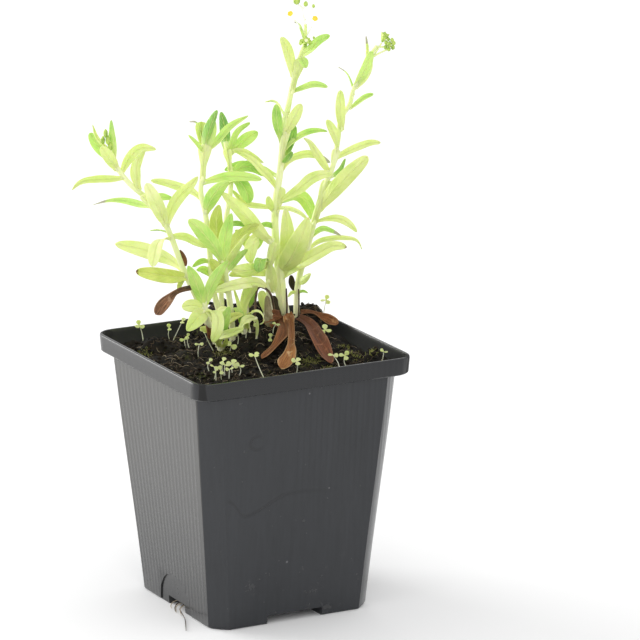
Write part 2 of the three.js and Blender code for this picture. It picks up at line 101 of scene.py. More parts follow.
class Bench:
    """The modelling moves that every piece is made with."""

    @staticmethod
    def focus(*pieces: Piece) -> None:
        """Selects these pieces alone and makes the first one active.

        Args:
            *pieces: The pieces to select.
        """
        bpy.ops.object.select_all(action="DESELECT")
        for piece in pieces:
            piece.select_set(True)
        bpy.context.view_layer.objects.active = pieces[0]

    @staticmethod
    def start(name: str) -> Piece:
        """Names the piece that was just added.

        Args:
            name: Its new name.

        Returns:
            The piece.
        """
        piece = bpy.context.active_object
        piece.name = name
        piece.data.name = name
        return piece

    @staticmethod
    def add(name: str, primitive: Callable, **settings: object) -> Piece:
        """Adds a primitive by its operator, with nothing else selected, and names it.

        Args:
            name: The piece's name.
            primitive: The operator that adds it.
            **settings: The operator's settings.

        Returns:
            The piece.
        """
        bpy.ops.object.select_all(action="DESELECT")
        primitive(**settings)
        return Bench.start(name)

    @staticmethod
    def link(name: str, data: bpy.types.ID) -> Piece:
        """Puts data into the scene as an object.

        Args:
            name: The object's name.
            data: A curve, light or camera.

        Returns:
            The object.
        """
        item = bpy.data.objects.new(name, data)
        bpy.context.scene.collection.objects.link(item)
        return item

    @staticmethod
    @contextmanager
    def editing(piece: Piece) -> Iterator[Piece]:
        """Opens a piece in edit mode and closes it again.

        Args:
            piece: The piece to open.

        Returns:
            The open piece, for as long as it is.
        """
        Bench.focus(piece)
        bpy.ops.object.mode_set(mode="EDIT")
        try:
            yield piece
        finally:
            bpy.ops.object.mode_set(mode="OBJECT")

    @staticmethod
    def pick(piece: Piece, test: Callable, kind: str = "VERT") -> None:
        """Selects the parts of an open piece that pass a test.

        Args:
            piece: The piece, in edit mode.
            test: Says whether a vertex, edge or face is wanted.
            kind: VERT, EDGE or FACE.
        """
        bpy.ops.mesh.select_mode(type=kind)
        bpy.ops.mesh.select_all(action="DESELECT")
        cells = bmesh.from_edit_mesh(piece.data)
        parts = {"VERT": cells.verts, "EDGE": cells.edges, "FACE": cells.faces}[kind]
        for part in [part for part in parts if test(part)]:
            part.select_set(True)
        bmesh.update_edit_mesh(piece.data)

    @staticmethod
    def shape(piece: Piece, test: Callable, scale: Optional[Sequence[float]] = None,
              shift: Optional[Sequence[float]] = None) -> None:
        """Sizes some vertices of an open piece about the origin, and then moves them.

        Args:
            piece: The piece, in edit mode.
            test: Says whether a vertex is wanted.
            scale: How much they are sized along each axis.
            shift: How far they are moved.
        """
        Bench.pick(piece, test)
        if scale is not None:
            bpy.ops.transform.resize(value=scale, center_override=(0, 0, 0))
        if shift is not None:
            bpy.ops.transform.translate(value=shift)

    @staticmethod
    def near(axis: int, place: float) -> Callable[[Vert], bool]:
        """A test for the vertices at a place along an axis."""
        return lambda vert: abs(vert.co[axis] - place) < 0.01

    @staticmethod
    def level(*heights: float) -> Callable[[Edge], bool]:
        """A test for the edges that lie level at one of these heights in mm."""
        return lambda edge: any(all(abs(vert.co.z - height * MM) < 0.01 * MM for vert in edge.verts)
                                for height in heights)

    @staticmethod
    def ring(width: float, corner: float, height: float, bend: float) -> None:
        """Adds a square ring to the open piece, in mm. A bend of 0.5 rounds its corners fully.

        Args:
            width: The ring's width.
            corner: The size of its corners.
            height: Its height.
            bend: How far its corners bulge.
        """
        bpy.ops.mesh.primitive_plane_add(size=width * MM, location=(0, 0, height * MM))
        bpy.ops.mesh.bevel(offset=corner * MM, segments=6, affect="VERTICES", clamp_overlap=False,
                           profile=bend)
        bpy.ops.mesh.delete(type="ONLY_FACE")

    @staticmethod
    def shell(name: str, rings: Sequence[Place], ring: Callable,
              cuts: Optional[dict[int, int]] = None) -> Piece:
        """Raises a closed shell from level rings.

        Args:
            name: The piece's name.
            rings: The width, corner and height of each, in mm.
            ring: Adds one of them to the open piece.
            cuts: How many rows of cuts the wall over a ring gets, by the ring's place in the row.

        Returns:
            The shell.
        """
        piece = Bench.add(name, bpy.ops.mesh.primitive_plane_add, size=MM)
        with Bench.editing(piece):
            bpy.ops.mesh.select_all(action="SELECT")
            bpy.ops.mesh.delete(type="VERT")
            for size in rings:
                ring(piece, *size)
            for index, (lower, upper) in enumerate(zip(rings, rings[1:])):
                Bench.pick(piece, Bench.level(lower[2], upper[2]), "EDGE")
                bpy.ops.mesh.bridge_edge_loops(number_cuts=(cuts or {}).get(index, 0))
            for end in (rings[0], rings[-1]):
                Bench.pick(piece, Bench.level(end[2]), "EDGE")
                bpy.ops.mesh.edge_face_add()
        return piece

    @staticmethod
    def apply(piece: Piece, kind: str, **settings: object) -> None:
        """Adds a modifier to a piece and applies it.

        Args:
            piece: The piece.
            kind: The modifier's type.
            **settings: Its settings.
        """
        Bench.focus(piece)
        modifier = piece.modifiers.new(kind.lower(), kind)
        for setting, value in settings.items():
            setattr(modifier, setting, value)
        bpy.ops.object.modifier_apply(modifier=modifier.name)

    @staticmethod
    def combine(piece: Piece, helper: Piece, how: str = "DIFFERENCE") -> None:
        """Cuts a piece with a helper, or joins or trims it, and removes the helper."""
        Bench.apply(piece, "BOOLEAN", object=helper, operation=how, solver="EXACT")
        Bench.discard(helper)

    @staticmethod
    def thicken(piece: Piece, thickness: float) -> None:
        """Gives a thin blade a thickness and rounds it off.

        Args:
            piece: The blade.
            thickness: Its thickness, in the mesh's own unit.
        """
        Bench.apply(piece, "SOLIDIFY", thickness=thickness, offset=0)
        Bench.apply(piece, "SUBSURF", levels=1, render_levels=1)
        Bench.smooth(piece)

    @staticmethod
    def settle(piece: Piece, place: Optional[Matrix] = None) -> None:
        """Puts a piece's place into its mesh, with its object at the origin.

        Args:
            piece: The piece.
            place: Where to put it first, if it isn't there yet.
        """
        if place is not None:
            piece.matrix_world = place
        Bench.focus(piece)
        bpy.ops.object.transform_apply(location=True, rotation=True, scale=True)

    @staticmethod
    def copy(master: Piece, name: str) -> Piece:
        """Copies a master with a mesh of its own.

        Args:
            master: The piece to copy.
            name: The copy's name.

        Returns:
            The copy.
        """
        piece = master.copy()
        piece.data = master.data.copy()
        piece.name = name
        piece.data.name = name
        bpy.context.scene.collection.objects.link(piece)
        return piece

    @staticmethod
    def join(name: str, pieces: Sequence[Piece]) -> Piece:
        """Joins pieces into one under a name.

        Args:
            name: The joined piece's name.
            pieces: The pieces to join.

        Returns:
            The joined piece.
        """
        Bench.focus(*pieces)
        if len(pieces) > 1:
            bpy.ops.object.join()
        return Bench.start(name)

    @staticmethod
    def smooth(piece: Piece, angle: float = 180.0) -> None:
        """Shades a piece smooth where its faces meet at less than an angle in degrees."""
        Bench.focus(piece)
        bpy.ops.object.shade_smooth_by_angle(angle=math.radians(angle))

    @staticmethod
    def discard(*pieces: Piece) -> None:
        """Removes helpers that aren't part of the object."""
        for piece in pieces:
            bpy.data.objects.remove(piece)

    @staticmethod
    def outward(piece: Piece) -> None:
        """Merges a piece's doubles and turns its faces outwards.

        Args:
            piece: The piece.
        """
        with Bench.editing(piece):
            bpy.ops.mesh.select_all(action="SELECT")
            bpy.ops.mesh.remove_doubles(threshold=0.001 * MM)
            bpy.ops.mesh.normals_make_consistent(inside=False)

    @staticmethod
    def thread(name: str, lines: Sequence[tuple[Sequence[Vector], Sequence[float]]], sides: int = 3,
               steps: int = 8) -> Piece:
        """Makes round threads along smooth lines, as one piece.

        Args:
            name: The piece's name.
            lines: For each thread its points in metres and its radius in mm at each point.
            sides: How round a thread is.
            steps: Steps between two points.

        Returns:
            The piece, as a mesh.
        """
        bpy.ops.object.select_all(action="DESELECT")
        curve = bpy.data.curves.new(name, "CURVE")
        curve.dimensions = "3D"
        curve.bevel_depth = MM
        curve.bevel_resolution = sides
        curve.resolution_u = steps
        curve.use_fill_caps = True
        for points, radii in lines:
            Bench.spline(curve, points, radii)
        Bench.focus(Bench.link(name, curve))
        bpy.ops.object.convert(target="MESH")
        Bench.smooth(bpy.context.active_object)
        return Bench.start(name)

    @staticmethod
    def spline(curve: bpy.types.Curve, points: Sequence[Vector], radii: Sequence[float]) -> bpy.types.Spline:
        """Adds a smooth line to a curve, with a radius at each point.

        Args:
            curve: The curve.
            points: The line's points.
            radii: Its radius at each point.

        Returns:
            The line.
        """
        spline = curve.splines.new("BEZIER")
        spline.bezier_points.add(len(points) - 1)
        for knot, point, radius in zip(spline.bezier_points, points, radii):
            knot.co = point
            knot.radius = radius
            knot.handle_left_type = knot.handle_right_type = "AUTO"
        return spline


Number = Union[float, "Value"]


class Value:
    """A number in a material: a socket whose sums add Math nodes."""

    def __init__(self, dye: "Dye", socket: Socket) -> None:
        """Wraps a socket of a material."""
        self.dye = dye
        self.socket = socket

    def _math(self, operation: str, *values: Number, clamp: bool = False) -> "Value":
        """Adds a Math node on these values."""
        return self.dye.node("Math", {"operation": operation, "use_clamp": clamp}, values)

    def __add__(self, other: Number) -> "Value":
        """This plus another."""
        return self._math("ADD", self, other)

    __radd__ = __add__

    def __sub__(self, other: Number) -> "Value":
        """This less another."""
        return self._math("SUBTRACT", self, other)

    def __rsub__(self, other: Number) -> "Value":
        """Another less this."""
        return self._math("SUBTRACT", other, self)

    def __mul__(self, other: Number) -> "Value":
        """This times another."""
        return self._math("MULTIPLY", self, other)

    __rmul__ = __mul__

    def __pow__(self, other: Number) -> "Value":
        """This to a power."""
        return self._math("POWER", self, other)

    def __abs__(self) -> "Value":
        """This without its sign."""
        return self._math("ABSOLUTE", self)

    def sine(self) -> "Value":
        """The sine of this."""
        return self._math("SINE", self)

    def limit(self) -> "Value":
        """This kept between 0 and 1."""
        return self._math("ADD", self, 0.0, clamp=True)

    def step(self, start: float, end: float) -> "Value":
        """0 before start, 1 after end, smooth between; start may be the larger."""
        share = ((self - start) * (1 / (end - start))).limit()
        return share * share * (3 - 2 * share)

    def line(self, middle: Number, half: float) -> "Value":
        """1 where this is at middle, falling to 0 at half away."""
        return (1 - abs(self - middle) * (1 / half)).limit()


class Dye:
    """One material under construction: its coordinates and nodes, and its colour and relief so far."""

    def __init__(self, name: str) -> None:
        """Starts a material of this name with a bare Principled shader.

        Args:
            name: The material's name.
        """
        self.material = bpy.data.materials.new(name)
        self.material.use_nodes = True
        self.tree = self.material.node_tree
        self.shader = self.tree.nodes["Principled BSDF"]
        self.places = self.tree.nodes.new("ShaderNodeTexCoord")
        self.colour: Optional[Socket] = None
        self.relief: Optional[Socket] = None

    def node(self, kind: str, settings: dict, inputs: Union[Sequence, dict],
             output: Union[int, str] = 0) -> Union[Value, Socket]:
        """Adds any node.

        Args:
            kind: The node's type without its ShaderNode prefix.
            settings: Its properties, set first.
            inputs: Values or links of its sockets, in order or by name.
            output: Which of its outputs is wanted.

        Returns:
            A Value for a number, or the socket of a colour or vector.
        """
        node = self.tree.nodes.new("ShaderNode" + kind)
        for setting, value in settings.items():
            setattr(node, setting, value)
        pairs = inputs.items() if isinstance(inputs, dict) else enumerate(inputs)
        for key, value in pairs:
            self.feed(node.inputs[key], value)
        socket = node.outputs[output]
        return Value(self, socket) if socket.type == "VALUE" else socket

    def feed(self, socket: Socket, value: object) -> None:
        """Sets a socket, or links it if the value comes from a node.

        Args:
            socket: The socket.
            value: A number, colour or vector, or what a node gives.
        """
        if isinstance(value, Value):
            value = value.socket
        if isinstance(value, Socket):
            self.tree.links.new(value, socket)
        elif socket.type == "RGBA":
            socket.default_value = (*value, 1)
        else:
            socket.default_value = value

    def axes(self, source: str) -> tuple[Value, Value, Value]:
        """The three numbers of a coordinate: Object in metres, or UV."""
        return tuple(self.node("SeparateXYZ", {}, [self.places.outputs[source]], axis) for axis in range(3))

    def noise(self, scale: float, detail: float = 3.0, stretch: Place = (1, 1, 1), source: str = "Object",
              rough: float = 0.55) -> Value:
        """Cloudy noise between 0 and 1.

        Args:
            scale: Blotches to a metre, or to the UV map's width.
            detail: How many finer layers it has.
            stretch: How much denser it is along each axis.
            source: Object or UV.
            rough: How strong its finer layers are.

        Returns:
            The noise.
        """
        place = self.node("Mapping", {}, {"Vector": self.places.outputs[source], "Scale": stretch})
        inputs = {"Vector": place, "Scale": scale, "Detail": detail, "Roughness": rough}
        return self.node("TexNoise", {}, inputs)

    def mix(self, share: Number, first: object, second: object) -> None:
        """Makes the colour a mix of two, by the share of the second."""
        self.colour = self.node("Mix", {"data_type": "RGBA"}, {0: share, 6: first, 7: second}, 2)

    def coat(self, share: Number, shade: Colour) -> None:
        """Lays a share of another colour over the colour so far."""
        self.mix(share, self.colour, shade)

    def emboss(self, height: Value, depth: float, strength: float = 1.0) -> None:
        """Lays relief of a depth in mm over the relief so far.

        Args:
            height: The relief.
            depth: How deep it is.
            strength: How strongly it shows.
        """
        inputs = {"Height": height, "Distance": depth * MM, "Strength": strength}
        if self.relief is not None:
            inputs["Normal"] = self.relief
        self.relief = self.node("Bump", {}, inputs)

    def finish(self, rough: Number, juice: Sequence = (), **sockets: object) -> Material:
        """Feeds the shader and closes the material.

        Args:
            rough: How rough the surface is.
            juice: How much light goes under the surface, its shares by colour, and its reach in metres.
            **sockets: Other sockets, with _ for each space in a name.

        Returns:
            The material.
        """
        sockets |= {"Base Color": self.colour, "Roughness": rough}
        sockets |= zip(("Subsurface Weight", "Subsurface Radius", "Subsurface Scale"), juice)
        if self.relief is not None:
            sockets["Normal"] = self.relief
        for name, value in sockets.items():
            self.feed(self.shader.inputs[name.replace("_", " ")], value)
        return self.material


@dataclass(frozen=True)
class Plastic:
    """Thin satin nursery plastic, black gone grey, with dusty patches, scuffs, a painted sheen on its left
    face and painted shade in its left arch panel and inside. Its places are in metres.
    """

    dark: Colour = screen(29, 31, 34)
    pale: Colour = screen(46, 48, 52)
    dust_and_sheen: Colour = screen(112, 110, 105)
    scuff: Colour = screen(128, 128, 130)
    smudge_and_shade: Colour = screen(20, 21, 23)
    shadow: Colour = screen(10, 10, 10)
    face: tuple[float, float] = (-0.030, -0.032)
    inside: float = 0.0434

    def material(self) -> Material:
        """Builds the material.

        Returns:
            The material.
        """
        dye = Dye("pot_plastic")
        x, y, z = dye.axes("Object")
        grain = dye.noise(900, 2, (1, 1, 0.03))
        bands = dye.noise(330, 3, (1, 1, 0.035))
        broad = dye.noise(45, 4, (1, 1, 0.5))
        dye.mix((broad * 0.5 + grain * 0.35 + bands * 0.6 - 0.25).limit(), self.dark, self.pale)
        dusty = dye.noise(160, 5, rough=0.7).step(0.58, 0.78) * z.step(0.04, 0.0)
        dusty = dusty + dye.noise(420, 3).step(0.68, 0.78) * 0.3
        # Painted sheen: the left face is painted paler, more so towards the top, on top of the real dusty
        # patches.
        left = (abs(y) + x).step(-0.0056, -0.0066) * z.step(-0.06, 0.09)
        dye.coat((dusty * 0.2 + left * 0.38).limit(), self.dust_and_sheen)
        front = y.step(*self.face)
        wall = front * z.step(0.093, 0.091)
        # The dull front-face marks are smudges sunk as shallow dents; their darkening is partly real smudge
        # and partly painted dent shade.
        smudge_and_shade = self.smudges(x, z) * wall
        dye.coat(smudge_and_shade * 0.5, self.smudge_and_shade)
        dye.coat(self.specks(x, z) * wall * 0.4, self.scuff)
        # Painted shade: the sunk arch panel on the left face is painted darker in patches.
        painted_arch_shade = x.step(*self.face) * abs(y - 0.001).step(0.0135, 0.0105) * z.step(0.0145, 0.0115)
        dye.coat(painted_arch_shade * broad.step(0.3, 0.6) * 0.7, self.smudge_and_shade)
        inner = z.step(0.0925, 0.093)
        for way in (x, y):
            inner = inner * (abs(way) - self.inside).step(0.0004, 0.0)
        # The rim band and everything above it are made darker.
        dye.coat(z.step(0.0921, 0.0926) * 0.7, self.smudge_and_shade)
        dye.coat(inner * 0.95, self.shadow)
        lines = (x * 2600).sine() * front * z.step(0.03, 0.08) * x.step(-0.012, 0.004)
        dye.coat((lines * 0.22).limit(), self.smudge_and_shade)
        dye.emboss(dye.noise(2600, 2), 0.02, 0.5)
        dye.emboss(smudge_and_shade, 0.25, 0.5)
        dye.emboss(grain * 0.5 + bands * 0.5 + lines * 0.6, 0.07, 0.7)
        rough = dye.noise(300, 3) * 0.12 + 0.17 + dusty * 0.2 + inner * 0.5
        return dye.finish(rough.limit(), Specular_IOR_Level=0.5)

    @staticmethod
    def smudges(x: Value, z: Value) -> Value:
        """Where the dull marks on the front face are: a long wavy one and a hooked one above it.

        Args:
            x: Along the face, in metres.
            z: Up the face, in metres.

        Returns:
            0 beside the marks to 1 on them.
        """
        dip = x.step(-0.0295, -0.0227) * x.step(-0.004, -0.0227)
        height = 0.0514 - dip * 0.0065 - x.step(0.0, 0.014) * 0.0013
        wave = z.line(height, 0.0013) * x.step(-0.031, -0.029) * x.step(0.0155, 0.010)
        away = ((x + 0.0185) ** 2 + ((z - 0.073) * 1.25) ** 2) ** 0.5
        hook = away.line(0.0032, 0.0013) * x.step(-0.0150, -0.0190)
        return wave * (x.step(0.012, -0.012) * 0.6 + 0.4) + hook

    @staticmethod
    def specks(x: Value, z: Value) -> Value:
        """Where the pale specks on the front face are.

        Args:
            x: Along the face, in metres.
            z: Up the face, in metres.

        Returns:
            0 beside the specks to 1 on them.
        """
        places = ((-0.0043, 0.0239, 0.0006), (0.002, 0.0895, 0.0005), (0.012, 0.051, 0.0004))
        return sum((((x - right) ** 2 + (z - up) ** 2) ** 0.5).step(size, size * 0.4)
                   for right, up, size in places)


@dataclass(frozen=True)
class Peat:
    """Damp black-brown potting soil, for its surface and its crumbs."""

    black: Colour = screen(11, 10, 7)
    brown: Colour = screen(38, 30, 20)
    fibre: Colour = screen(96, 80, 58)
    moss: Colour = screen(96, 104, 42)

    def material(self, name: str, paleness: float = 0.0) -> Material:
        """Builds the material under a name, with paleness adding brown.

        Args:
            name: The material's name.
            paleness: How much brown is added.

        Returns:
            The material.
        """
        dye = Dye(name)
        lumps = dye.noise(260, 5, rough=0.7)
        dye.mix((lumps.step(0.38, 0.72) + paleness).limit(), self.black, self.brown)
        dye.coat(dye.noise(900, 3, (1, 0.2, 0.3)).step(0.62, 0.7) * 0.55, self.fibre)
        green = dye.noise(120, 4).step(0.6, 0.72) * dye.noise(1100, 2).step(0.45, 0.6)
        dye.coat(green * 0.5, self.moss)
        dye.emboss(dye.noise(700, 5, rough=0.75), 0.5)
        return dye.finish((dye.noise(500) * 0.2 + 0.72).limit(), Specular_IOR_Level=0.18)


@dataclass(frozen=True)
class Strand:
    """Pale fibres, roots and seedling stems: one colour with a paler and a darker run."""

    colour: Colour
    paler: Colour

    def material(self, name: str) -> Material:
        """Builds the material under a name.

        Args:
            name: The material's name.

        Returns:
            The material.
        """
        dye = Dye(name)
        dye.mix(dye.noise(400, 3).step(0.35, 0.65), self.colour, self.paler)
        dye.emboss(dye.noise(3000, 2), 0.03)
        return dye.finish(0.6)


@dataclass(frozen=True)
class Stalk:
    """A juicy pale stem, a little see-through, with faint lengthwise streaks."""

    pale: Colour = screen(236, 242, 184)
    green: Colour = screen(216, 231, 148)
    straw: Colour = screen(242, 240, 204)

    def material(self) -> Material:
        """Builds the material.

        Returns:
            The material.
        """
        dye = Dye("stem_green")
        height = dye.axes("Object")[2]
        streaks = dye.noise(1500, 3, (1, 1, 0.06))
        dye.mix(dye.noise(60, 3).step(0.35, 0.7), self.pale, self.green)
        dye.coat(streaks.step(0.45, 0.75) * 0.5, self.pale)
        dye.coat(height.step(0.124, 0.104) * 0.85, self.straw)
        dye.emboss(streaks + dye.noise(4000, 1) * 0.4, 0.08)
        return dye.finish(0.5, (0.25, (1.0, 1.0, 0.3), 0.0012))


class Tint(Enum):
    """The greens of the leaves: the blade's middle colour and its darker colour."""

    FRESH = (screen(195, 226, 126), screen(162, 208, 97))
    LIME = (screen(220, 233, 154), screen(199, 220, 126))
    OLIVE = (screen(206, 214, 120), screen(178, 192, 88))
    PALE = (screen(233, 242, 174), screen(214, 230, 146))
    CREAM = (screen(242, 246, 202), screen(231, 241, 174))
    DARK = (screen(172, 208, 106), screen(130, 178, 72))
    DEEP = (screen(140, 188, 84), screen(98, 152, 56))


class Tip(Enum):
    """How a leaf's tip has gone off: its colour, and where on the blade it starts."""

    SOUND = (screen(196, 206, 96), 0.99)
    BROWN = (screen(112, 66, 28), 0.93)
    ORANGE = (screen(206, 138, 58), 0.955)
    GREY = (screen(176, 172, 150), 0.74)


@dataclass(frozen=True)
class Blade:
    """A leaf's surface: soft green with a sunken midrib, faint side veins and short hairs."""

    tint: Tint
    tip: Tip
    foot: Colour = screen(224, 230, 156)
    vein: Colour = screen(226, 236, 150)
    edge: Colour = screen(232, 236, 160)
    rib: Colour = screen(228, 236, 158)

    def material(self) -> Material:
        """Builds the material.

        Returns:
            The material.
        """
        dye = Dye(f"leaf_{self.tint.name.lower()}_{self.tip.name.lower()}")
        along, across, _ = dye.axes("UV")
        aside = abs(across - 0.5)
        dye.mix(dye.noise(110, 4).step(0.36, 0.68), *self.tint.value)
        dye.coat(along.step(0.42, 0.0) * 0.55, self.foot)
        veins = ((along * 46 - aside * 26 + dye.noise(5, 2, source="UV") * 4).sine() * 0.5 + 0.5) ** 6
        veins = veins * along.step(0.1, 0.25)
        dye.coat(veins * 0.22, self.vein)
        dye.coat(aside.step(0.44, 0.5) * 0.35, self.edge)
        rib = aside.step(0.05, 0.012)
        dye.coat(rib * 0.5, self.rib)
        shade, start = self.tip.value
        ragged = along + (dye.noise(700, 3) - 0.5) * 0.16
        dye.coat(ragged.step(start, start + 0.06), shade)
        dye.emboss(dye.noise(3600, 2), 0.06, 0.7)
        dye.emboss(veins * 0.4 - rib, 0.16)
        return dye.finish(dye.noise(500) * 0.14 + 0.4, (0.35, (1.0, 1.3, 0.35), 0.0011))


@dataclass(frozen=True)
class Withered:
    """A dead leaf: dry brown with darker lengthwise wrinkles and pale worn ridges."""

    brown: Colour
    dark: Colour
    ridge: Colour
    name: str

    def material(self) -> Material:
        """Builds the material.

        Returns:
            The material.
        """
        dye = Dye(self.name)
        along, across, _ = dye.axes("UV")
        wrinkles = dye.noise(14, 4, (0.25, 1.6, 1), "UV", 0.65)
        dye.mix(wrinkles.step(0.35, 0.65), self.dark, self.brown)
        dye.coat(dye.noise(260, 4).step(0.56, 0.7) * 0.7, self.ridge)
        dye.coat(abs(across - 0.5).step(0.42, 0.5) * 0.5, self.ridge)
        dye.coat(along.step(0.6, 0.15) * 0.5, self.dark)
        dye.emboss(wrinkles, 0.6)
        return dye.finish((dye.noise(400) * 0.2 + 0.6).limit())


@dataclass(frozen=True)
class Petal:
    """The corolla, nearly white, faintly blue towards its edge, with fine veins and a painted white glow; and
    its yellow eye, with a painted yellow glow.
    """

    white: Colour = screen(252, 253, 255)
    blue: Colour = screen(240, 245, 254)
    vein: Colour = screen(208, 220, 244)
    eye: Colour = screen(230, 212, 70)
    amber: Colour = screen(226, 188, 56)
    glow: Colour = screen(232, 206, 62)

    def material(self) -> Material:
        """Builds the petals' material, with a painted white glow.

        Returns:
            The material.
        """
        dye = Dye("petal")
        along, across, _ = dye.axes("UV")
        dye.mix(along.step(0.25, 1.0) * 0.8, self.white, self.blue)
        fan = ((across - 0.5) * 60).sine().step(0.5, 1.0) * along.step(0.15, 0.4)
        dye.coat(fan * 0.2, self.vein)
        dye.emboss(fan, 0.05)
        # Painted glow: the petals give off a weak white light of their own.
        return dye.finish(0.55, (0.85, (1, 1, 1.1), 0.0025), Emission_Color=(1, 1, 1), Emission_Strength=0.4)

    def eye_material(self) -> Material:
        """Builds the yellow eye's material, with a painted yellow glow.

        Returns:
            The material.
        """
        dye = Dye("flower_eye")
        dye.mix(dye.noise(1500, 2).step(0.4, 0.7), self.eye, self.amber)
        dye.emboss(dye.noise(4000, 1), 0.04)
        # Painted glow: the eye gives off a weak yellow light of its own.
        return dye.finish(0.5, Emission_Color=self.glow, Emission_Strength=0.15)


@dataclass(frozen=True)
class Calyx:
    """Buds and calyces: hairy green, paler between the sepals."""

    green: Colour = screen(194, 218, 104)
    dark: Colour = screen(146, 180, 68)
    hair: Colour = screen(226, 234, 172)

    def material(self) -> Material:
        """Builds the material.

        Returns:
            The material.
        """
        dye = Dye("bud_green")
        dye.mix(dye.noise(500, 3).step(0.4, 0.65), self.green, self.dark)
        hairs = dye.noise(5000, 1, (1, 1, 0.3)).step(0.55, 0.7)
        dye.coat(hairs * 0.5, self.hair)
        dye.emboss(hairs, 0.08)
        return dye.finish(0.62, (0.2, (1, 1, 0.4), 0.001))


class Wardrobe:
    """Each material built once, and put on the pieces that wear it."""

    def __init__(self) -> None:
        """Starts with no materials."""
        self.made: dict[object, Material] = {}

    def get(self, key: object, build: Callable[[], Material]) -> Material:
        """Returns the material under a key, building it the first time.

        Args:
            key: What the material is kept under.
            build: Builds it.

        Returns:
            The material.
        """
        if key not in self.made:
            self.made[key] = build()
        return self.made[key]

    def blade(self, tint: Tint, tip: Tip) -> Material:
        """The material of a leaf of this tint and tip."""
        return self.get((tint, tip), Blade(tint, tip).material)

    def stem(self) -> Material:
        """The material of the stems."""
        return self.get("stem", Stalk().material)

    def bud(self) -> Material:
        """The material of buds and calyces."""
        return self.get("bud", Calyx().material)

    @staticmethod
    def dress(piece: Piece, material: Material, slot: str, *nodes: str) -> None:
        """Gives a piece its material and body, and hides the CAD nodes that it replaces.

        Args:
            piece: The finished piece.
            material: What it wears.
            slot: Not used.
            *nodes: CAD nodes that it replaces.
        """
        piece.data.materials.clear()
        piece.data.materials.append(material)
        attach(piece, BODY)
        if nodes:
            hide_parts(*nodes)
        LOG.info("%s: %d faces", piece.name, len(piece.data.polygons))


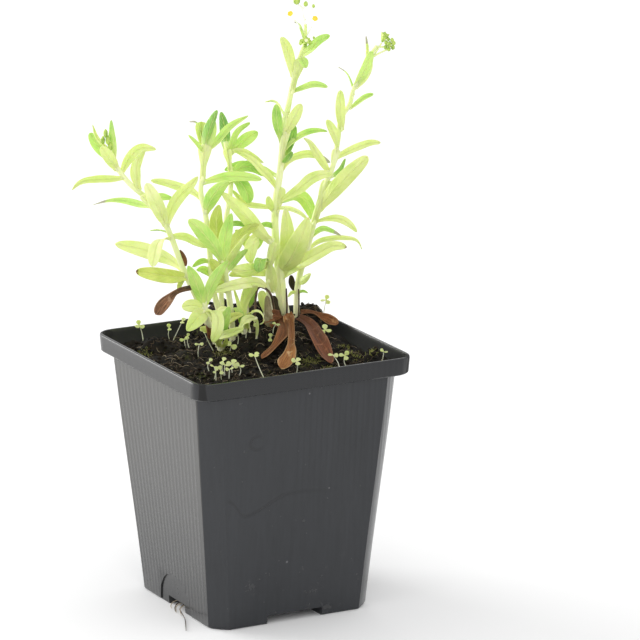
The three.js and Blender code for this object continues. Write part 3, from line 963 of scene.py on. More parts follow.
@dataclass
class Pot:
    """The square tapered pot with its folded rim band, ribbed sides and low drainage channels, in mm."""

    height: float = 99.0
    rim: float = 90.0
    band_foot: float = 92.4
    band_width: float = 89.2
    wall_top: float = 83.2
    base: float = 66.0
    wall: float = 1.2
    rim_corner: float = 7.2
    top_corner: float = 6.9
    base_corner: float = 5.9
    bend: float = 0.29
    round_bend: float = 0.5
    wall_cuts: int = 14
    rib_columns: int = 85
    plain_columns: int = 25
    rib_rise: float = 0.1
    rib_span: tuple[float, float] = (2.0, 91.0)
    channel_height: float = 3.4
    channel_length: float = 15.0
    front_channel: float = 23.0
    side_channel: float = 13.6
    channel_edge: float = 0.45
    hole_radius: float = 2.5
    arch: Place = (26.0, 13.5, 0.5)
    arch_sides: int = 40
    dent: Place = (-41.2, 26.0, 88.0)
    dent_reach: float = 2.2
    dent_depth: float = 1.0
    dent_spread: float = 6.0

    def width(self, height: float) -> float:
        """The wall's outer width at a height."""
        return self.base + (self.wall_top - self.base) * min(height, self.band_foot) / self.band_foot

    def corner(self, height: float) -> float:
        """The wall's outer corner radius at a height."""
        return self.base_corner + (self.top_corner - self.base_corner) * height / self.band_foot

    def profile(self) -> list[Place]:
        """The shell's rings from the underside over the rim to the inner floor: width, corner, height.

        Returns:
            The rings, in order.
        """
        inner = 2 * self.wall
        return [
            (self.base - 1.6, self.base_corner - 0.8, 0.0),
            (self.base - 0.4, self.base_corner - 0.1, 0.35),
            (self.width(1), self.base_corner, 1.0),
            (self.width(91.6), self.top_corner, 91.6),
            (self.wall_top + 1.2, self.top_corner - 0.3, 92.5),
            (self.band_width - 0.7, self.rim_corner - 0.3, 92.4),
            (self.band_width, self.rim_corner, 92.75),
            (self.rim - 0.1, self.rim_corner, 98.2),
            (self.rim - 0.4, self.rim_corner - 0.1, 98.8),
            (self.rim - 1.1, self.rim_corner - 0.4, self.height),
            (self.rim - 2.2, self.rim_corner - 0.8, 98.97),
            (self.rim - 2.7, self.rim_corner - 1.0, 98.6),
            (self.band_width - 3.0, self.rim_corner - 1.2, 96.0),
            (self.wall_top - 0.6, self.top_corner - 0.7, 93.7),
            (self.wall_top - inner, self.top_corner - 0.7, 92.3),
            (self.base - inner, self.base_corner - 0.7, 1.25),
        ]

    def build(self, wardrobe: Wardrobe) -> None:
        """Builds the pot.

        Args:
            wardrobe: The materials.
        """
        pot = Bench.shell("nursery_pot", self.profile(), self.ring, {2: self.wall_cuts})
        with Bench.editing(pot):
            self.rib(pot)
            self.dent_wall(pot)
        Bench.outward(pot)
        self.drain(pot)
        Bench.smooth(pot, 32)
        Wardrobe.dress(pot, wardrobe.get("pot", Plastic().material), "pot_plastic", "pot")

    def ring(self, pot: Piece, width: float, corner: float, height: float) -> None:
        """Adds one ring of the shell, round on the band and flat below, with its runs cut into columns.

        Args:
            pot: The shell, in edit mode.
            width: The ring's width.
            corner: The size of its corners.
            height: Its height.
        """
        Bench.ring(width, corner, height, self.round_bend if width > self.wall_top + 2 else self.bend)
        for axis, columns in ((0, self.rib_columns), (1, self.plain_columns)):
            def straight(edge: Edge, across: int = 1 - axis) -> bool:
                """Whether an edge is a whole straight run of this ring."""
                first, second = (vert.co for vert in edge.verts)
                return Bench.level(height)(edge) and abs(first[across] - second[across]) > 20 * MM
            Bench.pick(pot, straight, "EDGE")
            bpy.ops.mesh.subdivide(number_cuts=columns - 1)

    def rib(self, pot: Piece) -> None:
        """Raises every second column of the two ribbed sides, and every fourth one a little more.

        Args:
            pot: The shell, in edit mode.
        """
        for side in (-1, 1):
            for spacing, rise in ((2, 0.8), (4, 1)):
                def raised(vert: Vert, way: int = side, every: int = spacing) -> bool:
                    """Whether a vertex is on a rib of this side."""
                    low, high = self.rib_span
                    up = vert.co.z / MM
                    if not low < up < high or way * vert.co.x / MM < self.width(up) / 2 - 0.3:
                        return False
                    run = self.width(up) - 2 * self.corner(up)
                    column = round((vert.co.y / MM / run + 0.5) * self.rib_columns)
                    return 0 < column < self.rib_columns and column % every == 0
                Bench.shape(pot, raised, shift=(side * self.rib_rise * MM * rise, 0, 0))

    def dent_wall(self, pot: Piece) -> None:
        """Pushes the shallow dent into the left side, under the rim.

        Args:
            pot: The shell, in edit mode.
        """
        Bench.pick(pot, lambda vert: (vert.co / MM - Vector(self.dent)).length < self.dent_reach
                   and vert.co.x < -40.5 * MM)
        bpy.ops.transform.translate(value=(self.dent_depth * MM, 0, 0), use_proportional_edit=True,
                                    proportional_edit_falloff="SPHERE",
                                    proportional_size=self.dent_spread * MM, use_proportional_connected=True)

    def blocks(self, name: str, spare: float, bottom: float, start: float, end: float) -> Piece:
        """Four boxes along the drainage channels, as one helper.

        Args:
            name: The helper's name.
            spare: How much wider and higher than a channel they are.
            bottom: Their underside's height.
            start: Where they start, from the pot's middle.
            end: Where they end.

        Returns:
            The helper.
        """
        parts = []
        top = self.channel_height + spare
        for side in range(4):
            width = (self.front_channel if side % 2 else self.side_channel) + 2 * spare
            turn = Matrix.Rotation(side * math.pi / 2, 4, "Z")
            size = Matrix.Diagonal((end - start, width, top - bottom, 1))
            middle = Matrix.Translation(((start + end) / 2, 0, (top + bottom) / 2))
            part = Bench.add(name, bpy.ops.mesh.primitive_cube_add, size=1)
            Bench.settle(part, Matrix.Scale(MM, 4) @ turn @ middle @ size)
            Bench.apply(part, "BEVEL", width=self.channel_edge * MM, segments=3, limit_method="ANGLE")
            parts.append(part)
        return Bench.join(name, parts)

    def arches(self) -> Piece:
        """The two arched panels to sink, as one helper.

        Returns:
            The helper.
        """
        width, height, depth = self.arch
        lean = math.atan((self.wall_top - self.base) / 2 / self.band_foot)
        stand = Matrix.Rotation(math.pi / 2, 4, "Z") @ Matrix.Rotation(math.pi / 2 + lean, 4, "X")
        size = Matrix.Diagonal((width, 2 * height, 1, 1))
        out = Matrix.Translation((self.base / 2 - depth, 0, 0))
        parts = []
        for side in (0, math.pi):
            part = Bench.add("arch", bpy.ops.mesh.primitive_circle_add, vertices=self.arch_sides,
                             radius=0.5, fill_type="NGON")
            with Bench.editing(part):
                bpy.ops.mesh.select_all(action="SELECT")
                bpy.ops.mesh.extrude_region_move(TRANSFORM_OT_translate={"value": (0, 0, 6)})
                Bench.shape(part, lambda vert: vert.co.y < -0.05, scale=(1.04, 1.3, 1))
            Bench.settle(part, Matrix.Scale(MM, 4) @ Matrix.Rotation(side, 4, "Z") @ out @ stand @ size)
            Bench.outward(part)
            parts.append(part)
        return Bench.join("arches", parts)

    def holes(self, reach: float) -> Piece:
        """The round holes through the channels' inner ends, as one helper.

        Args:
            reach: How far they are from the pot's middle.

        Returns:
            The helper.
        """
        holes = []
        for side in range(4):
            at = Matrix.Rotation(side * math.pi / 2, 3, "Z") @ Vector((reach, 0, self.channel_height)) * MM
            holes.append(Bench.add("drain_hole", bpy.ops.mesh.primitive_cylinder_add, vertices=24,
                                   radius=self.hole_radius * MM, depth=5 * MM, location=at))
        drains = Bench.join("drain_holes", holes)
        Bench.settle(drains)
        return drains

    def drain(self, pot: Piece) -> None:
        """Adds the channels, their holes and the arched panels to the shell.

        Args:
            pot: The shell.
        """
        foot = self.base / 2
        inner_end = foot + 1 - self.channel_length
        Bench.combine(pot, self.blocks("tunnels", self.wall, 0.6, inner_end - self.wall, foot - 0.4), "UNION")
        Bench.combine(pot, self.blocks("channels", 0.0, -2.0, inner_end, foot + 3))
        Bench.combine(pot, self.arches())
        Bench.combine(pot, self.holes(inner_end + 4))


@dataclass
class Soil:
    """The potting soil: a mounded surface of crumbs and fibres that fills the pot, in mm."""

    pot: Pot
    level: float = 94.0
    cells: int = 110
    humps: tuple[tuple[float, float, float, float], ...] = (
        (8.0, 22.0, 6.8, 36.0), (22.0, 37.0, 7.6, 12.0), (0.0, 33.0, 7.9, 15.0), (-14.0, 34.0, 11.5, 13.0),
        (45.0, -8.0, 5.0, 7.5), (-38.0, 13.0, 3.6, 9.0), (-24.0, 2.0, 1.6, 9.0), (33.0, 2.0, 1.8, 9.0),
    )
    lumps: tuple[tuple[str, float, float], ...] = (
        ("clods", 7.0, 3.0), ("lumps", 2.6, 1.9), ("grit", 1.1, 0.7),
    )
    moss: tuple[tuple[float, float], ...] = (
        (34.3, 6.0), (37.0, 0.0), (39.0, -4.0), (18.6, -8.0), (21.9, -8.5), (24.5, -5.0), (-13.0, 2.0),
        (-9.5, 3.0), (-41.0, 4.0), (44.0, -10.0), (29.0, -16.0),
    )
    moss_threads: int = 34
    crumbs: int = 1150
    crumb_kinds: int = 6
    crumb_size: Place = (0.28, 0.95, 2.6)
    pale_every: int = 5
    fibres: int = 300
    fibre_reach: float = 39.4
    floor: float = 1.6
    mould_top: float = 110.0
    gap: float = 0.3
    tunnel_gap: float = 0.35
    lowest: float = 85.0
    seed: int = 7
    ground: Optional[BVHTree] = None

    def build(self) -> None:
        """Builds the soil, its crumbs, its fibres and its moss."""
        soil = Bench.add("potting_soil", bpy.ops.mesh.primitive_grid_add, x_subdivisions=self.cells,
                         y_subdivisions=self.cells, size=self.pot.rim * MM, location=(0, 0, self.level * MM))
        Bench.settle(soil)
        self.raise_surface(soil)
        with Bench.editing(soil):
            Bench.pick(soil, lambda edge: edge.is_boundary, "EDGE")
            bpy.ops.mesh.extrude_region_move(TRANSFORM_OT_translate={"value": (0, 0, -40 * MM)})
            bpy.ops.transform.resize(value=(1, 1, 0), center_override=(0, 0, self.floor * MM))
            bpy.ops.mesh.edge_face_add()
        Bench.outward(soil)
        Bench.combine(soil, self.mould(), "INTERSECT")
        foot = self.pot.base / 2
        spare = self.pot.wall + self.tunnel_gap
        start = foot + 1 - self.pot.channel_length - spare
        Bench.combine(soil, self.pot.blocks("soil_tunnels", spare, -3.0, start, foot + 4))
        Bench.smooth(soil, 60)
        Wardrobe.dress(soil, Peat().material("potting_soil"), "potting_soil", "soil")
        corners = [vert.co for vert in soil.data.vertices]
        self.ground = BVHTree.FromPolygons(corners, [face.vertices for face in soil.data.polygons])
        chance = random.Random(self.seed)
        self.scatter(chance)
        self.strew(chance)
        self.grow_moss(chance)

    def raise_surface(self, soil: Piece) -> None:
        """Raises the humps of the surface, and makes it lumpy.

        Args:
            soil: The flat surface.
        """
        with Bench.editing(soil):
            for right, back, rise, reach in self.humps:
                top = spot((right, back, self.level))
                Bench.pick(soil, lambda vert, at=top: (vert.co - at).to_2d().length < 0.6 * MM)
                bpy.ops.transform.translate(value=(0, 0, rise * MM), use_proportional_edit=True,
                                            proportional_edit_falloff="SMOOTH", proportional_size=reach * MM)
        for name, size, strength in self.lumps:
            texture = bpy.data.textures.new(name, "CLOUDS")
            texture.noise_scale = size * MM
            texture.noise_depth = 2
            Bench.apply(soil, "DISPLACE", texture=texture, strength=strength * MM, mid_level=0.5,
                        direction="Z", texture_coords="LOCAL")

    def mould(self) -> Piece:
        """The inside of the pot less a small gap, as a helper.

        Returns:
            The helper.
        """
        pot = self.pot
        inset = 2 * (pot.wall + self.gap)
        rings = [(pot.base - inset, pot.base_corner - 0.8, 1.65),
                 (pot.width(92) - inset, pot.top_corner - 0.8, 92.0),
                 (pot.width(92) - inset, pot.top_corner - 0.8, self.mould_top)]
        mould = Bench.shell("mould", rings, lambda _, *ring: Bench.ring(*ring, pot.bend))
        Bench.outward(mould)
        return mould

    def height(self, x: float, y: float) -> Optional[float]:
        """The height of the soil's surface under a place, all in metres, or None off the soil."""
        place = self.ground.ray_cast(Vector((x, y, 0.15)), Vector((0, 0, -1)))[0]
        return place.z if place else None

    def somewhere(self, chance: random.Random) -> Vector:
        """A place on the soil's surface, picked by chance.

        Args:
            chance: The source of chance.

        Returns:
            The place, in metres.
        """
        reach = self.pot.wall_top / 2 - self.pot.wall - 0.9
        edge = self.pot.top_corner * 1.6 * MM
        inner = reach * MM - edge
        while True:
            x, y = (chance.uniform(-reach, reach) * MM for _ in range(2))
            outside = Vector((max(abs(x) - inner, 0), max(abs(y) - inner, 0))).length > edge - 1.2 * MM
            height = None if outside else self.height(x, y)
            if height is not None and height > self.lowest * MM:
                return Vector((x, y, height))

    def scatter(self, chance: random.Random) -> None:
        """Scatters the crumbs over the surface.

        Args:
            chance: The source of chance.
        """
        least, more, rarity = self.crumb_size
        masters = [self.crumb(chance, index) for index in range(self.crumb_kinds)]
        dark, pale = [], []
        for index in range(self.crumbs):
            piece = Bench.copy(masters[index % len(masters)], "crumb")
            size = least + more * chance.random() ** rarity
            turn = Matrix.Rotation(chance.uniform(0, 6.3), 4, (chance.random(), chance.random(), 1))
            at = Matrix.Translation(self.somewhere(chance) + Vector((0, 0, size * 0.35 * MM)))
            piece.matrix_world = at @ turn @ Matrix.Scale(size * MM, 4)
            (pale if index % self.pale_every == 0 else dark).append(piece)
        Bench.discard(*masters)
        for name, pieces, paleness in (("dark_crumbs", dark, 0.1), ("brown_crumbs", pale, 0.6)):
            joined = Bench.join(name, pieces)
            Bench.settle(joined)
            Bench.smooth(joined, 50)
            Wardrobe.dress(joined, Peat().material(name, paleness), "potting_soil")

    @staticmethod
    def crumb(chance: random.Random, index: int) -> Piece:
        """One crumb to copy: a small faceted lump.

        Args:
            chance: The source of chance.
            index: The crumb's number.

        Returns:
            The crumb.
        """
        crumb = Bench.add(f"crumb_master_{index}", bpy.ops.mesh.primitive_uv_sphere_add, segments=8,
                          ring_count=5, radius=1)
        with Bench.editing(crumb):
            for _ in range(5):
                way = Vector([chance.uniform(-1, 1) for _ in range(3)]).normalized()
                Bench.shape(crumb, lambda vert, to=way: vert.co.normalized().dot(to) > 0.55,
                            shift=way * chance.uniform(-0.4, 0.35))
            bpy.ops.mesh.select_all(action="SELECT")
            bpy.ops.transform.resize(value=(1, chance.uniform(0.6, 1), chance.uniform(0.5, 0.8)))
        return crumb

    def strew(self, chance: random.Random) -> None:
        """Strews short pale and brown fibres over the surface.

        Args:
            chance: The source of chance.
        """
        kinds = (("pale_fibres", Strand(screen(132, 116, 92), screen(176, 160, 130))),
                 ("brown_fibres", Strand(screen(70, 54, 36), screen(104, 82, 56))))
        for name, strand in kinds:
            lines = [line for line in (self.fibre(chance) for _ in range(self.fibres)) if line]
            piece = Bench.thread(name, lines, sides=0, steps=3)
            Wardrobe.dress(piece, strand.material(name), "potting_soil")

    def fibre(self, chance: random.Random) -> Optional[tuple[list[Vector], list[float]]]:
        """A bent fibre along the surface, or None where it would be too short.

        Args:
            chance: The source of chance.

        Returns:
            Its points and its radius at each, or None.
        """
        at = self.somewhere(chance)
        heading = chance.uniform(0, 2 * math.pi)
        bend = chance.uniform(-0.8, 0.8)
        stride = chance.uniform(0.5, 1.5)
        points = []
        for _ in range(4):
            height = self.height(at.x, at.y) or at.z
            points.append(Vector((at.x, at.y, height + chance.uniform(0.1, 0.7) * MM)))
            at = at + Vector((math.cos(heading), math.sin(heading), 0)) * stride * MM
            heading += bend
            if max(abs(at.x), abs(at.y)) > self.fibre_reach * MM:
                break
        return (points, [chance.uniform(0.03, 0.08)] * len(points)) if len(points) > 2 else None

    def grow_moss(self, chance: random.Random) -> None:
        """Grows small tufts of moss, each a bunch of short green threads.

        Args:
            chance: The source of chance.
        """
        lines = []
        for right, back in self.moss:
            for _ in range(self.moss_threads):
                at = spot((right + chance.gauss(0, 1.5), back + chance.gauss(0, 1.8), 0))
                height = self.height(at.x, at.y)
                if height is None:
                    continue
                foot = Vector((at.x, at.y, height))
                way = Vector((chance.uniform(-1, 1), chance.uniform(-1, 1), chance.uniform(0.3, 1.2))) * MM
                lines.append(([foot, foot + way * 0.6, foot + way], [0.09, 0.08, 0.04]))
        tufts = Bench.thread("moss_tufts", lines, sides=0, steps=2)
        moss = Strand(screen(104, 108, 42), screen(150, 152, 74)).material("moss")
        Wardrobe.dress(tufts, moss, "leaf_green")


class BladeShape(Enum):
    """Outlines of a blade: widest place, bluntness, petiole, fold and wave of the edge, in shares."""

    LANCE = (0.48, 0.60, 0.46, 0.22, 0.05)
    SPOON = (0.62, 0.52, 0.42, 0.18, 0.06)
    STRAP = (0.54, 0.42, 0.54, 0.26, 0.04)
    SLIM = (0.42, 0.64, 0.56, 0.34, 0.03)
    RUFFLED = (0.56, 0.52, 0.42, 0.20, 0.16)
    DISC = (0.76, 0.46, 0.15, 0.12, 0.03)
    THREAD = (0.30, 1.10, 0.55, 0.30, 0.03)
    FUNNEL = (0.84, 0.34, 0.42, 0.60, 0.05)
    FOLDED = (0.40, 0.60, 0.60, 1.10, 0.06)
    CRUMPLED = (0.50, 0.42, 0.50, 0.55, 0.30)
    RIBBON = (0.84, 0.30, 0.42, 0.50, 0.34)
    PADDLE = (0.82, 0.66, 0.42, 0.45, 0.30)


@dataclass(frozen=True)
class Leaf:
    """A leaf: its width, the way its width runs, its midrib, its look, and its tip's turn in degrees."""

    width: float
    across: Place
    midrib: tuple[Place, ...]
    shape: BladeShape
    tint: Tint
    tip: Tip
    twist: float = 0.0


def leaf(shape: BladeShape, tint: Tint, width: float, across: Place, *midrib: Place,
         tip: Tip = Tip.SOUND) -> Leaf:
    """A leaf in one row: its outline, greens, width in mm, the way that runs, and the midrib's places."""
    return Leaf(width, across, midrib, shape, tint, tip)


@dataclass
class Foliage:
    """Shapes blades from a few masters and bends each along its midrib."""

    columns: int = 20
    rows: int = 8
    thickness: float = 0.32
    crease: float = 0.10
    fold_power: float = 1.3
    ripple: tuple[float, float] = (9.5, 1.9)
    masters: dict[BladeShape, Piece] = field(default_factory=dict)

    def master(self, shape: BladeShape) -> Piece:
        """The blade to copy for a shape, 2 wide and 2 long, with its width along Z.

        Args:
            shape: The outline.

        Returns:
            The master.
        """
        if shape not in self.masters:
            self.masters[shape] = self._shape(shape)
        return self.masters[shape]

    def _shape(self, shape: BladeShape) -> Piece:
        """Models the master of a shape from a grid.

        Args:
            shape: The outline.

        Returns:
            The master.
        """
        widest, blunt, petiole, fold, wave = shape.value
        blade = Bench.add(f"blade_{shape.name.lower()}", bpy.ops.mesh.primitive_grid_add,
                          x_subdivisions=self.columns, y_subdivisions=self.rows, size=2)
        lean = math.log(0.5) / math.log(widest)
        with Bench.editing(blade):
            for row in range(self.rows + 1):
                aside = -1 + 2 * row / self.rows
                rise = fold * abs(aside) ** self.fold_power - (self.crease if row * 2 == self.rows else 0)
                Bench.shape(blade, Bench.near(1, aside), shift=(0, 0, rise))
            for column in range(self.columns + 1):
                share = column / self.columns
                at = -1 + 2 * share
                half = max(math.sin(math.pi * share ** lean), 0) ** blunt
                if share < widest:
                    half = max(half, petiole)
                for side in (-1, 1):
                    ripple = wave * math.sin(self.ripple[0] * share + self.ripple[1] * side)
                    Bench.shape(blade, lambda vert, x=at, way=side: abs(vert.co.x - x) < 0.01
                                and way * vert.co.y > 0.7, shift=(0, 0, ripple))
                Bench.shape(blade, Bench.near(0, at), scale=(1, half, half))
            bpy.ops.mesh.select_all(action="SELECT")
            bpy.ops.mesh.remove_doubles(threshold=0.001)
        Bench.settle(blade, Matrix.Rotation(math.pi / 2, 4, "X"))
        return blade

    def blade(self, name: str, plan: Leaf) -> Piece:
        """Makes one blade and bends it along its midrib.

        Args:
            name: The piece's name.
            plan: The leaf.

        Returns:
            The bent blade, with its place in its mesh.
        """
        points = [spot(place) for place in plan.midrib]
        across = spot(plan.across).normalized()
        if (points[-1] - points[0]).cross(across).z < 0:
            across = -across
        stand = upright_to(across)
        curve = bpy.data.curves.new("guide", "CURVE")
        curve.dimensions = "3D"
        curve.twist_mode = "Z_UP"
        curve.use_stretch = True
        curve.use_deform_bounds = True
        local = [stand.to_3x3().inverted() @ point for point in points]
        spline = Bench.spline(curve, local, [1.0] * len(local))
        for index, knot in enumerate(spline.bezier_points):
            knot.tilt = math.radians(plan.twist) * index / (len(local) - 1)
        guide = Bench.link("guide", curve)
        guide.matrix_world = stand
        piece = Bench.copy(self.master(plan.shape), name)
        Bench.settle(piece, Matrix.Diagonal((MM, plan.width / 2 * MM, plan.width / 2 * MM, 1)))
        piece.matrix_world = stand
        Bench.apply(piece, "CURVE", object=guide, deform_axis="POS_X")
        Bench.settle(piece)
        Bench.discard(guide)
        Bench.thicken(piece, self.thickness * MM)
        return piece

    def clear(self) -> None:
        """Removes the masters."""
        Bench.discard(*self.masters.values())
        self.masters.clear()


@dataclass(frozen=True)
class Stem:
    """A stem: radii at its foot and top in mm, route, leaves that are CAD nodes, leaflets that aren't."""

    name: str
    radii: tuple[float, float]
    route: tuple[Place, ...]
    leaves: tuple[Leaf, ...]
    leaflets: tuple[Leaf, ...]
    in_frame: bool = True


LANCE, SPOON, STRAP, SLIM, RUFFLED, DISC, THREAD, FUNNEL, FOLDED, CRUMPLED, RIBBON, PADDLE = BladeShape
FRESH, LIME, OLIVE, PALE, CREAM, DARK, DEEP = Tint
_, BROWN, ORANGE, GREY = Tip

